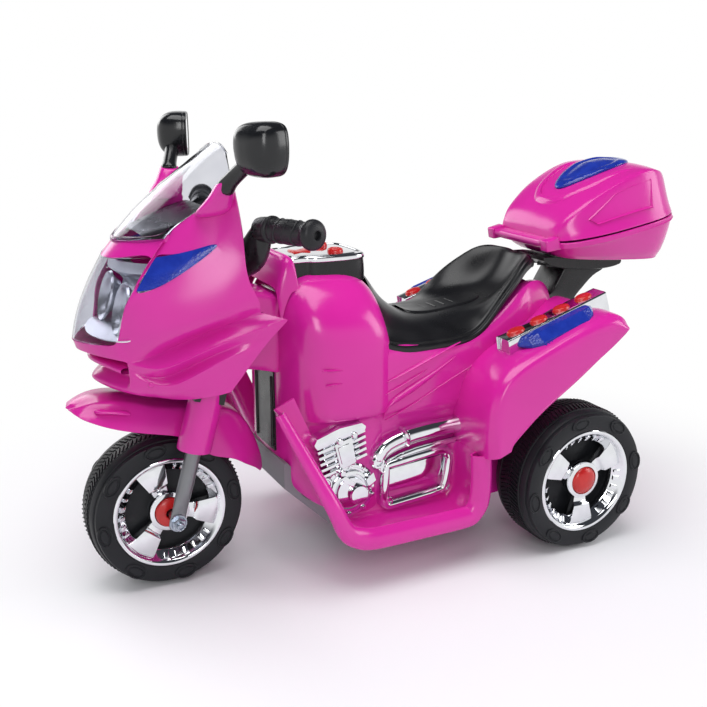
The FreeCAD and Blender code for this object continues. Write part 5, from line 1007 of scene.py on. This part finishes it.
LAMP_X, LAMP_Y, LAMP_Z, LEAN = 322, 35, 333, 0.28  # mouth of the left bowl, and how it leans back
bowl_rows = []
for r, back in ((27, 0.0), (26.4, 1.5), (25, 2.0), (21, -5), (20.2, -4.6), (15, -12), (14.4, -11.6),
        (8, -17), (4, -18.5), (0.6, -19)):
    bowl_rows.append([(LAMP_X + back - LEAN * r * math.sin(a), LAMP_Y + r * 0.92 * math.cos(a),
        LAMP_Z + r * math.sin(a)) for a in around(20)])
bowl = moulded(bowl_rows, 1, loop=True)
brow = moulded([[(x, 0, z), (x - 4, 30, z + 0.5), (x - 16, 58, z + 2), (x - 26, 68, z + 3)]
    for x, z in ((352, 302), (336, 305), (318, 310), (312, 330), (306, 352), (312, 362), (322, 370),
    (318, 380))], 2, 1.2, folds=(("row", 2, 0.6), ("row", 4, 0.6), ("row", 6, 0.6)), both=True)
fix("lamp_reflector", joined(brow, pair(bowl)), aluminised_abs, "steering", "headlight_reflector")
cup = closed([[(LAMP_X - 13 + f - LEAN * r * math.sin(a), LAMP_Y + r * math.cos(a),
    LAMP_Z + r * math.sin(a)) for a in around(12)] for r, f in ((7, -6), (7, 4), (5.6, 8), (2.6, 10.4),
    (0.5, 11))], 1)
fix("bulb_cups", pair(cup), clear_polycarbonate, "steering", "headlight_lamps")

# Handlebar: black ABS bar with a yoke on the steering column, risers and swept ends;
# the grips are ribbed PVC sleeves with a palm swell and a domed flange with a drain hole.


def swept(path, sections, steps=20, levels=1):
    """Bar along a path, with a half height and a half width for each point of it."""
    rows = []
    for i, (point, (tall, wide)) in enumerate(zip(path, sections)):
        here = Vector(point)
        along = heading(path, i)
        level = along.cross(Vector((0, 0, 1))).normalized()
        upright = level.cross(along)
        rows.append([tuple(here + level * wide * math.cos(a) + upright * tall * math.sin(a))
            for a in around(steps)])
    return closed(rows, levels)


bar_arm = swept(((204, 14, 362), (200, 40, 367), (195, 64, 378), (191, 84, 392), (189, 96, 408),
    (186, 106, 416), (180, 127, 417), (173, 148, 417.5), (170, 158, 417.8)),
    ((11, 17), (14, 15), (18, 13), (19, 12), (14, 11), (9.5, 9.5), (8, 8), (8, 8), (7.6, 7.6)), levels=2)
yoke_block = bevelled(bar([(x, y, 351) for x, y in ((184, -24), (222, -24), (222, 24), (184, 24))],
    [(x, y, 372) for x, y in ((186, -22), (218, -22), (218, 22), (186, 22))]), 3.0, 3)
clamp = swept(((189.5, 97, 414.5), (188.5, 100, 415), (185, 112, 416.5), (184, 115, 416.8)),
    ((11, 11), (13, 13), (13, 13), (11, 11)))
fix("handlebar_moulding", joined(pair(bar_arm, clamp), yoke_block), satin_black_abs, "steering",
    "handlebar")

# soft black sleeve: 0.9 mm pebble grain, 15 mm patches worn shiny by hands
ribbed_pvc = surface("ribbed_pvc", tint=(("NOISE", 15), "18181b", "27272b"),
    gloss=(("NOISE", 15), 0.3, 0.7, 0.34, 0.48), relief=(("F1", 0.9), 0.1, 0.2), IOR=1.5,
    Specular_IOR_Level=0.3)

GRIP_START, GRIP_END = Vector((185, 112, 416.5)), Vector((162.3, 181.5, 418.4))
GRIP_PROFILE = (  # distance from the inner end in millimetres, and radius
    (0, 8.8), (0, 12.3), (0.8, 13.6), (2.4, 14.3), (4.2, 14.3), (5.4, 13.6), (6, 12.5), (7.4, 12.1),
    (8.6, 12.5), (9.6, 12.7), (10.6, 12.3), (12, 11.8), (18, 12), (25, 12.7), (32, 12.8), (40, 12.4),
    (48, 12), (54, 11.9), (58, 12.1), (59.4, 12.8), (60.2, 14.3), (61.6, 15.1), (63.6, 15.5), (66, 15.2),
    (68, 14.3), (69.6, 12.5), (70.8, 9.7), (71.4, 7.6), (71.6, 5.4), (71, 4.6), (67, 4.2), (67, 0.2))
axis = (GRIP_END - GRIP_START).normalized()
level = axis.cross(Vector((0, 0, 1))).normalized()
upright = level.cross(axis)
rows = [[tuple(GRIP_START + axis * along + (level * math.cos(a) + upright * math.sin(a)) * girth)
    for a in around(36)] for along, girth in GRIP_PROFILE]
sleeve = closed(rows, 0)
bands, BAND_RADIUS = [], 12.5
for share in (0.26, 0.44, 0.62):
    ring = []
    for a in around(24) + [2 * math.pi]:
        here = GRIP_START.lerp(GRIP_END, share + 0.035 * math.sin(2 * a))
        out = level * math.cos(a) + upright * math.sin(a)
        ring.append([tuple(here + axis * w + out * (BAND_RADIUS + up))
            for w, up in ((-1.1, -0.9), (-0.4, 0.35), (0.4, 0.35), (1.1, -0.9))])
    bands.append(moulded(ring, 1))
grip = joined(sleeve, *bands)
fix("grip_pair", pair(grip), ribbed_pvc, "steering", "grips")

# Mirrors: glossy black ABS shells on thick stems that plug into the fairing,
# each with a glass of silvered plastic let into its rolled rim.

# polished black moulding: 40 mm sink clouds, 1 mm dust in the gloss
gloss_black_abs = surface("gloss_black_abs", tint=(("NOISE", 40), "111214", "1c1d20"),
    gloss=(("NOISE", 1), 0.35, 0.75, 0.14, 0.24), IOR=1.53, Specular_IOR_Level=0.42)

MIRROR_LINE = (  # its outline, out and up from its middle
    (0.0, 25.5), (12, 25.5), (22, 22.5), (26.5, 14), (27.5, 0), (26, -14), (20, -24.5), (8, -27.5),
    (-8, -27), (-19, -22), (-25, -10), (-27, 4), (-25, 16), (-17, 23.5))
TOE, MIRROR_X, MIRROR_Y, MIRROR_Z = math.radians(20), 203, 139, 499  # turn and middle of the left mirror


def toed_in(ahead, out, up):
    """Point of the left mirror, whose glass is turned in towards the rider."""
    return (MIRROR_X + ahead * math.cos(TOE) - out * math.sin(TOE),
        MIRROR_Y + out * math.cos(TOE) + ahead * math.sin(TOE), MIRROR_Z + up)


shell_rows = []
for ahead, scale in ((-12.5, 0.86), (-13, 0.92), (-12.6, 0.965), (-9, 0.985), (-8.4, 0.965), (-7.6, 0.985),
        (0, 0.99), (8, 0.95), (15, 0.82), (20, 0.58), (22.5, 0.25), (22.8, 0.05)):
    shell_rows.append([toed_in(ahead, y * scale, z * scale) for y, z in MIRROR_LINE])
mirror_shell = closed(shell_rows, 2, folds=(("row", 2, 0.4), ("row", 4, 0.5)))
stem = swept(((226, 98, 458), (224, 104, 464), (219, 114, 473), (213, 126, 483), (208, 134, 490)),
    ((9, 9), (8.5, 8.5), (8, 8), (8.5, 9), (10, 11)), 16, 2)
housing = joined(mirror_shell, stem)
fix("mirror_shell_pair", pair(housing), gloss_black_abs, "steering", "mirror_housings")
# toy mirror foil: bright, with 10 mm waves and a slight blue cast
silvered_acrylic = surface("silvered_acrylic", tint=(("NOISE", 10, 1.0), "d6dade", "e8ebee"),
    relief=(("NOISE", 10, 1.0), 0.04, 0.5), Metallic=1.0, Roughness=0.03)
glass_rows = [[toed_in(ahead, y * s, z * s) for y, z in MIRROR_LINE]
    for ahead, s in ((-10.6, 0.87), (-12, 0.86), (-12.3, 0.8), (-12.6, 0.3), (-12.6, 0.02))]
glass = closed(glass_rows, 1)
fix("mirror_glass_pair", pair(glass), silvered_acrylic, "steering", "mirror_glasses")

# Side lenses: blue polycarbonate blocks clipped along the outer side of each light bar,
# with slanted ends, a broad facet along the top and a row of short ribs along the foot.
LENS_BACK = 134.2  # its inner face, against the bar
LENS_STATIONS = (  # place along the bar, height of its foot and top, how far out
    (14, 7, 11, 137), (24, 2, 16.5, 147), (36, 0, 18, 154), (104, 0, 18, 154), (116, 4, 17, 147),
    (123, 8, 13, 137))
lens_rows = []
for along, low, high, out in LENS_STATIONS:
    lens_rows.append([on_bar(along, y, up) for y, up in ((LENS_BACK, low), (out - 3, low),
        (out, low + 0.16 * (high - low)), (out, low + 0.42 * (high - low)),
        (BAR_OUTER + 0.55 * (out - BAR_OUTER), high), (LENS_BACK, high))])
side_lens = closed(lens_rows, 0)
rib_ends = [[on_bar(38 + w, y, up) for w, up in ((-1.1, -0.6), (1.1, -0.6), (1.1, 5.0), (-1.1, 5.0))]
    for y in (147, 156)]
lens_rib = bevelled(bar(*rib_ends), 0.5, 1)
RIB_PITCH, RIB_COUNT = 4.6, 15
pace = Vector(on_bar(RIB_PITCH, 0, 0)) - Vector(on_bar(0, 0, 0))
lens_left = joined(side_lens, in_line(lens_rib, RIB_COUNT, pace, blue_polycarbonate))
fix("side_lens_pair", pair(lens_left), blue_polycarbonate, "chassis", "side_lenses", sharp=8)

# Top box: pink ABS tub with a rolled rim on a black bracket, its lid hinged at the front on a bar
# between two end clips; a blue leaf-shaped lens sits in a raised collar on the lid.
TILT, HINGE_X, HINGE_Z = math.radians(10), -207, 362  # lean of the box and its hinge line


def in_box(x, y, z):
    """Point of the top box from its own frame, which leans up towards the rear from the hinge."""
    return (HINGE_X + x * math.cos(TILT) + z * math.sin(TILT), y,
        HINGE_Z - x * math.sin(TILT) + z * math.cos(TILT))


LID_RIBS = (  # x, middle height, ridge y and z, rim y
    (-10, 3.0, 52, 2.8, 57), (-12.5, 12, 54, 9.5, 60), (-17, 20, 57, 16.5, 66), (-27, 29, 62, 25.5, 75),
    (-44, 39.5, 67, 35, 83.5), (-65, 50, 71, 45, 89.5), (-90, 58.5, 74, 53, 93), (-120, 65, 76, 60, 94.5),
    (-150, 67, 76, 62, 94), (-171, 63, 71, 57, 88), (-186, 53, 61, 47, 76), (-196, 34, 47, 30, 57),
    (-200.5, 12, 30, 10, 36), (-202, 2.4, 18, 2.2, 23))
lid_rows = []
for x, middle, ridge, high, rim in LID_RIBS:
    step = 5 * min(1, high / 20)
    section = ((0, middle), (0.45 * ridge, middle - 0.4), (ridge - 9, high + 2.2 * min(1, high / 10)),
        (ridge, high), (ridge + 3.5, high - step), (0.4 * ridge + 0.6 * rim, 0.35 * high + 1.5),
        (rim, 1.9), (rim - 2, 0.9))
    lid_rows.append([in_box(x, y, z) for y, z in section])
lid_shell = moulded(lid_rows, 3, 2.5, both=True, folds=(("col", 3, 0.45), ("col", 6, 0.9)))


def between_ribs(x):
    """Middle height, ridge and rim of the lid at one place along it."""
    for first, second in zip(LID_RIBS, LID_RIBS[1:]):
        if second[0] <= x <= first[0]:
            t = (first[0] - x) / (first[0] - second[0])
            return [a + t * (b - a) for a, b in zip(first[1:], second[1:])]


def on_lid(x, y, lift):
    """Point on the lid's top, or a little above it."""
    middle, ridge, high, _ = between_ribs(x)
    return in_box(x, y, middle + (high - middle) * min(1, abs(y) / ridge) ** 2 + lift)


def on_side(x, share, out):
    """Point on the lid's side between its rim and its ridge."""
    _, ridge, high, rim = between_ribs(x)
    return in_box(x, rim + (ridge + 1.5 - rim) * share + out, 2.0 + (high - 6) * share)


COLLAR_LINE = ((-148, 56), (-120, 54), (-92, 48), (-68, 38), (-52, 25), (-46, 12), (-45, 0))
collar_line = COLLAR_LINE + tuple((x, -y) for x, y in COLLAR_LINE[-2::-1])
collar_rows = []
for i, (x, y) in enumerate(collar_line):
    along = heading(collar_line, i)
    out = Vector((along.y, -along.x))
    fall = 0.15 if i in (0, len(collar_line) - 1) else 1.0
    collar_rows.append([on_lid(x + out.x * w, y + out.y * w, up * fall)
        for w, up in ((-7, -1.5), (-4, 2.6), (0, 4.0), (3, 3.0), (5, -1.5))])
lens_collar = moulded(collar_rows, 2)
side_lines = []
TRAPEZOID = (  # the lines on the lid's side: x, and share of the height from the rim to the ridge
    (-51, 0.62), (-60, 0.36), (-142, 0.30), (-150, 0.88), (-92, 0.9), (-51, 0.62))
for (xa, sa), (xb, sb) in zip(TRAPEZOID, TRAPEZOID[1:]):
    rows = []
    for t in (0, 0.25, 0.5, 0.75, 1):
        x, share = xa + t * (xb - xa), sa + t * (sb - sa)
        rows.append([on_side(x - 1.4, share - 0.035, -1.5), on_side(x, share, 2.0),
            on_side(x + 1.4, share + 0.035, -1.5)])
    side_lines.append(moulded(rows, 1))
KNUCKLE = ((-14, 3.5), (-3, 5.6), (4, 5.4), (6, 1.0), (3, -4.8), (-3, -5), (-5.4, -1), (-8, 0.8))
lid_knuckle = closed([[in_box(x, y, z) for x, z in KNUCKLE] for y in (-49.5, -48.5, 0, 48.5, 49.5)], 2,
    folds=(("row", 1, 0.6), ("row", 3, 0.6), ("col", 2, 0.4), ("col", 3, 0.4)))
fix("top_box_lid", joined(lid_shell, lens_collar, lid_knuckle, pair(*side_lines)), pink_abs, "lid",
    "box_lid", sharp=40)

LEAF_X, LEAF_LONG, LEAF_WIDE = -119, 55, 33  # middle of the lens, half of its length and width
leaf_rows = []
for share, lift in ((0.02, -0.4), (0.5, -0.4), (0.97, -0.4), (1.0, 3.2), (0.9, 5.4), (0.76, 5.6),
        (0.66, 4.2), (0.45, 6.4), (0.2, 8.0), (0.02, 8.4)):
    ring = []
    for a in around(24):
        wide = math.sin(a) * (1 - 0.28 * math.cos(a))
        ring.append(on_lid(LEAF_X + LEAF_LONG * math.cos(a) * share, LEAF_WIDE * wide * share, lift))
    leaf_rows.append(ring)
lid_leaf = closed(leaf_rows, 2, folds=(("row", 2, 0.6), ("row", 4, 0.3)))
fix("lid_leaf_lens", joined(lid_leaf), blue_polycarbonate, "lid", "lid_lens")

TUB_RIM = ((-9.5, 0), (-10, 24), (-12, 57), (-24, 77), (-66, 92), (-110, 95), (-150, 94), (-182, 81),
    (-198, 48), (-202.5, 0))
TUB_FLOOR = ((-29, 0), (-29.5, 20), (-31, 45), (-44, 60), (-80, 70), (-110, 72), (-150, 71), (-172, 56),
    (-180, 34), (-183, 0))
TUB_LEVELS = (  # share of the way to the floor, size, height near the rim
    (0.0, 0.985, -0.5), (0.0, 1.0, -1.4), (0.0, 1.0, -7.5), (0.02, 0.985, -8.2), (0.35, 0.985, None),
    (0.75, 0.995, None), (0.94, 0.99, None), (1.0, 0.93, None), (1.0, 0.5, None), (1.0, 0.0, None))
TUB_MIDDLE, TUB_SWELL = -106, 5  # x of its middle, and how far its wall swells out
TUB_DEPTH, TUB_FALL = -27, 0.242  # height of the floor at its front, and its fall to the rear
tub_rows = []
for share, grow, rise in TUB_LEVELS:
    ring = []
    for (rim_x, rim_y), (floor_x, floor_y) in zip(TUB_RIM, TUB_FLOOR):
        x = TUB_MIDDLE + (rim_x + (floor_x - rim_x) * share - TUB_MIDDLE) * grow
        y = (rim_y + (floor_y - rim_y) * share) * grow
        belly = Vector((x - TUB_MIDDLE, y)).normalized() * TUB_SWELL * math.sin(math.pi * share)
        floor_z = TUB_DEPTH + (x - TUB_FLOOR[0][0]) * TUB_FALL
        ring.append(in_box(x + belly.x, y + belly.y if rim_y else 0,
            floor_z * share if rise is None else rise))
    tub_rows.append(ring)
tub = moulded(tub_rows, 3, 2.2, both=True, folds=(("row", 1, 0.7), ("row", 2, 0.8), ("row", 6, 0.3)))
clip_ends = [[in_box(x, y, z) for x, z in ((-16, -9), (7.5, -7), (7.5, 7), (-12, 8))] for y in (51, 65)]
clip = bevelled(bar(*clip_ends), 2.0, 3)
fix("top_box_tub", joined(tub, pair(clip)), pink_abs, "chassis", "box_base", sharp=40)

# Box bracket: a black ABS tray under the box with three webs along it,
# on a boxed post that leans down and forward to the tail of the body.
TRAY_LINE = (  # x and z of its section, along the top to the rear and back along the foot
    (-225, 339.5), (-262, 336), (-300, 332.5), (-330, 329.6), (-343, 328.4), (-343, 321), (-326, 318),
    (-300, 318), (-262, 322), (-236, 328))
bracket_plate = []
for y, lift in ((-34, 3), (-32, 0), (32, 0), (34, 3)):
    bracket_plate.append([(x, y, z + (lift if k > 4 else 0)) for k, (x, z) in enumerate(TRAY_LINE)])
tray = closed(bracket_plate, 1, folds=(("row", 1, 0.5), ("row", 2, 0.5)))
POST_RIBS = (  # x at the back and at the front, and height
    (-322, -270, 322), (-316, -264, 312), (-296, -252, 294), (-280, -240, 278), (-268, -230, 268))
post_rows = []
for back, front, z in POST_RIBS:
    rise = 0.3 * (front - back)
    post_rows.append([(back, -22, z), (back, 22, z), (back + 4, 26, z), (front - 4, 26, z + rise),
        (front, 22, z + rise), (front, -22, z + rise), (front - 4, -26, z + rise), (back + 4, -26, z)])
post = closed(post_rows, 2, folds=tuple(("col", k, 0.5) for k in range(8)))
webs = []
for y in (-17, 0, 17):
    ends = [[(x, y + w, z) for w, z in ((-1.2, low), (1.2, low), (1.2, low + 8), (-1.2, low + 8))]
        for x, low in ((-340, 315.5), (-236, 324))]
    webs.append(bevelled(bar(*ends), 0.5, 1))
fix("bracket_moulding", joined(tray, post, *webs), satin_black_abs, "chassis", "box_bracket")

# Fork legs: steel tubes painted silver grey, flattened at the foot round the axle,
# with their upper ends in the crown; the axle is a zinc-plated bolt with washers and nuts.

# sprayed metal flake: 0.4 mm sparkle in the gloss, 22 mm clouds from the spraying
silver_paint = surface("silver_paint", tint=(("NOISE", 22), "77787b", "8a8b8f"),
    gloss=(("NOISE", 0.4), 0.3, 0.7, 0.3, 0.44), Metallic=0.75)

LEG_Y = 55  # distance of each leg from the middle line
LEG_SECTIONS = (  # height above the axle, half depth and half width
    (156, 8.6, 8.6), (154, 9, 9), (60, 9, 9), (34, 9, 8.8), (24, 8.8, 7.0), (14, 8.8, 4.6), (6, 9, 4.0),
    (-3, 8.4, 4.0), (-8, 5.4, 3.8), (-9.6, 1.0, 3.4))
leg_rows = []
for height, deep, wide in LEG_SECTIONS:
    leg_rows.append([on_fork(height, LEG_Y, wide * math.sin(a), deep * math.cos(a)) for a in around(20)])
leg = closed(leg_rows, 2)
fix("fork_leg_pair", pair(leg), silver_paint, "steering", "fork_legs")

# bright zinc with a blue cast: 6 mm stains of the bath, 0.3 mm turning marks
zinc_plate = surface("zinc_plate", tint=(("NOISE", 6), "8f98a6", "c2c9d2"),
    gloss=(("NOISE", 0.3), 0.0, 1.0, 0.2, 0.36), Metallic=1.0)

axle = wheels["front"][0]
bolt = spun(((0.2, 69.6), (2.4, 69.6), (2.8, 71.5), (3.4, 71.5), (4.2, 70.6), (4.2, -70.6), (3.4, -71.5),
    (2.8, -71.5), (2.4, -69.6), (0.2, -69.6)), axle, 1, 32)
washer = spun(((4.4, 59.2), (9.8, 59.2), (10, 59.6), (9.6, 60.8), (4.4, 60.8)), axle, 1, 40)
nut = spun(((4.4, 60.8), (8.2, 60.8), (8.2, 65), (7.0, 66.2), (4.4, 66.2)), axle, 1, 6)
nut_lip = spun(((4.4, 66), (6.2, 66), (5.8, 68), (4.4, 68)), axle, 1, 32)
fix("axle_and_nuts", joined(bolt, pair(washer, nut, nut_lip)), zinc_plate, "steering", "front_axle",
    sharp=30)


def dress(finish, *names):
    """Finish on CAD nodes that are shown as they are."""
    for name in names:
        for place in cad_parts[name].material_slots:
            place.link, place.material = "OBJECT", finish


dress(zinc_plate, "rear_axle", "steering_column", "body_screws", "motor")

# Cockpit panel: black ABS hood that closes the fairing behind the screen, with a rolled rear edge
# and a shallow tray in its top; it clips to the fairing's inner wall.
HOOD_RIBS = (  # x, height and half width from the foot of the screen back to the rider
    (296, 406, 40), (290, 410, 50), (268, 417, 62), (244, 424, 72), (226, 428, 79), (219, 428, 82),
    (215, 424, 82), (214, 410, 80), (212, 388, 74), (210, 370, 66))
hood_rows = [[(x, 0, z + 1.5), (x, 0.5 * half, z + 1.2), (x, 0.78 * half, z), (x, half, z - 4)]
    for x, z, half in HOOD_RIBS]
hood = moulded(hood_rows, 2, 2.2, both=True, folds=(("row", 5, 0.4), ("row", 6, 0.4)))
fix("cockpit_hood", hood, satin_black_abs, "steering", "cockpit_panel")

# Hidden fittings: black ABS crown, gearbox, bracket, speaker, board and socket;
# the front panel and the pedal are seen from some sides and keep the same satin finish.
dress(satin_black_abs, "fork_crown", "gearbox_case", "speaker", "control_board", "charge_socket",
    "pedal_bracket", "front_panel", "foot_pedal")
PANEL_X = 153.6  # face of the front panel, which has two upright ribs
panel_ends = [[(PANEL_X + out, y + w, z) for w, out in ((-2.2, 0), (2.2, 0), (1.4, 2.4), (-1.4, 2.4))]
    for y, z in ((-24, 146), (-24, 232))]
panel_rib = bevelled(bar(*panel_ends), 0.6, 1)
fix("panel_ribs", in_line(panel_rib, 2, (0, 48, 0), satin_black_abs), satin_black_abs, "chassis")

# Belly pan: matt grey polypropylene tray that closes the body from below,
# shown as the solid it is and screwed to both halves.

# cloudy unpainted plastic: 1.2 mm leather grain, 35 mm flow clouds
grey_polypropylene = surface("grey_polypropylene", tint=(("NOISE", 35), "7f8084", "8d8e93"),
    gloss=(("NOISE", 35), 0.0, 1.0, 0.48, 0.6), relief=(("F1", 1.2), 0.1, 0.2))
dress(grey_polypropylene, "belly_pan")

# Drive: white nylon gear and bushes, a brass pinion pressed on the motor's shaft
# and a sealed battery in a dark ABS case; all hidden, and shown as their solids.

# milky, waxy plastic: 8 mm clouds, 0.5 mm tool marks
natural_nylon = surface("natural_nylon", tint=(("NOISE", 8), "dcd9cf", "ebe9e1"),
    gloss=(("NOISE", 0.5), 0.0, 1.0, 0.34, 0.5))
dress(natural_nylon, "steering_bushes", "drive_gear")
# fresh hobbed metal: 3 mm tarnish, 0.25 mm cutting lines
cut_brass = surface("cut_brass", tint=(("NOISE", 3), "a98238", "cda95a"),
    gloss=(("NOISE", 0.25), 0.0, 1.0, 0.22, 0.38), Metallic=1.0)
dress(cut_brass, "motor_pinion")
# dull dark grey case with a blue cast: 1 mm spark grain in the gloss, 28 mm flow clouds
battery_abs = surface("battery_abs", tint=(("NOISE", 28), "26282e", "33363d"),
    gloss=(("NOISE", 1), 0.0, 1.0, 0.42, 0.58))
dress(battery_abs, "battery")
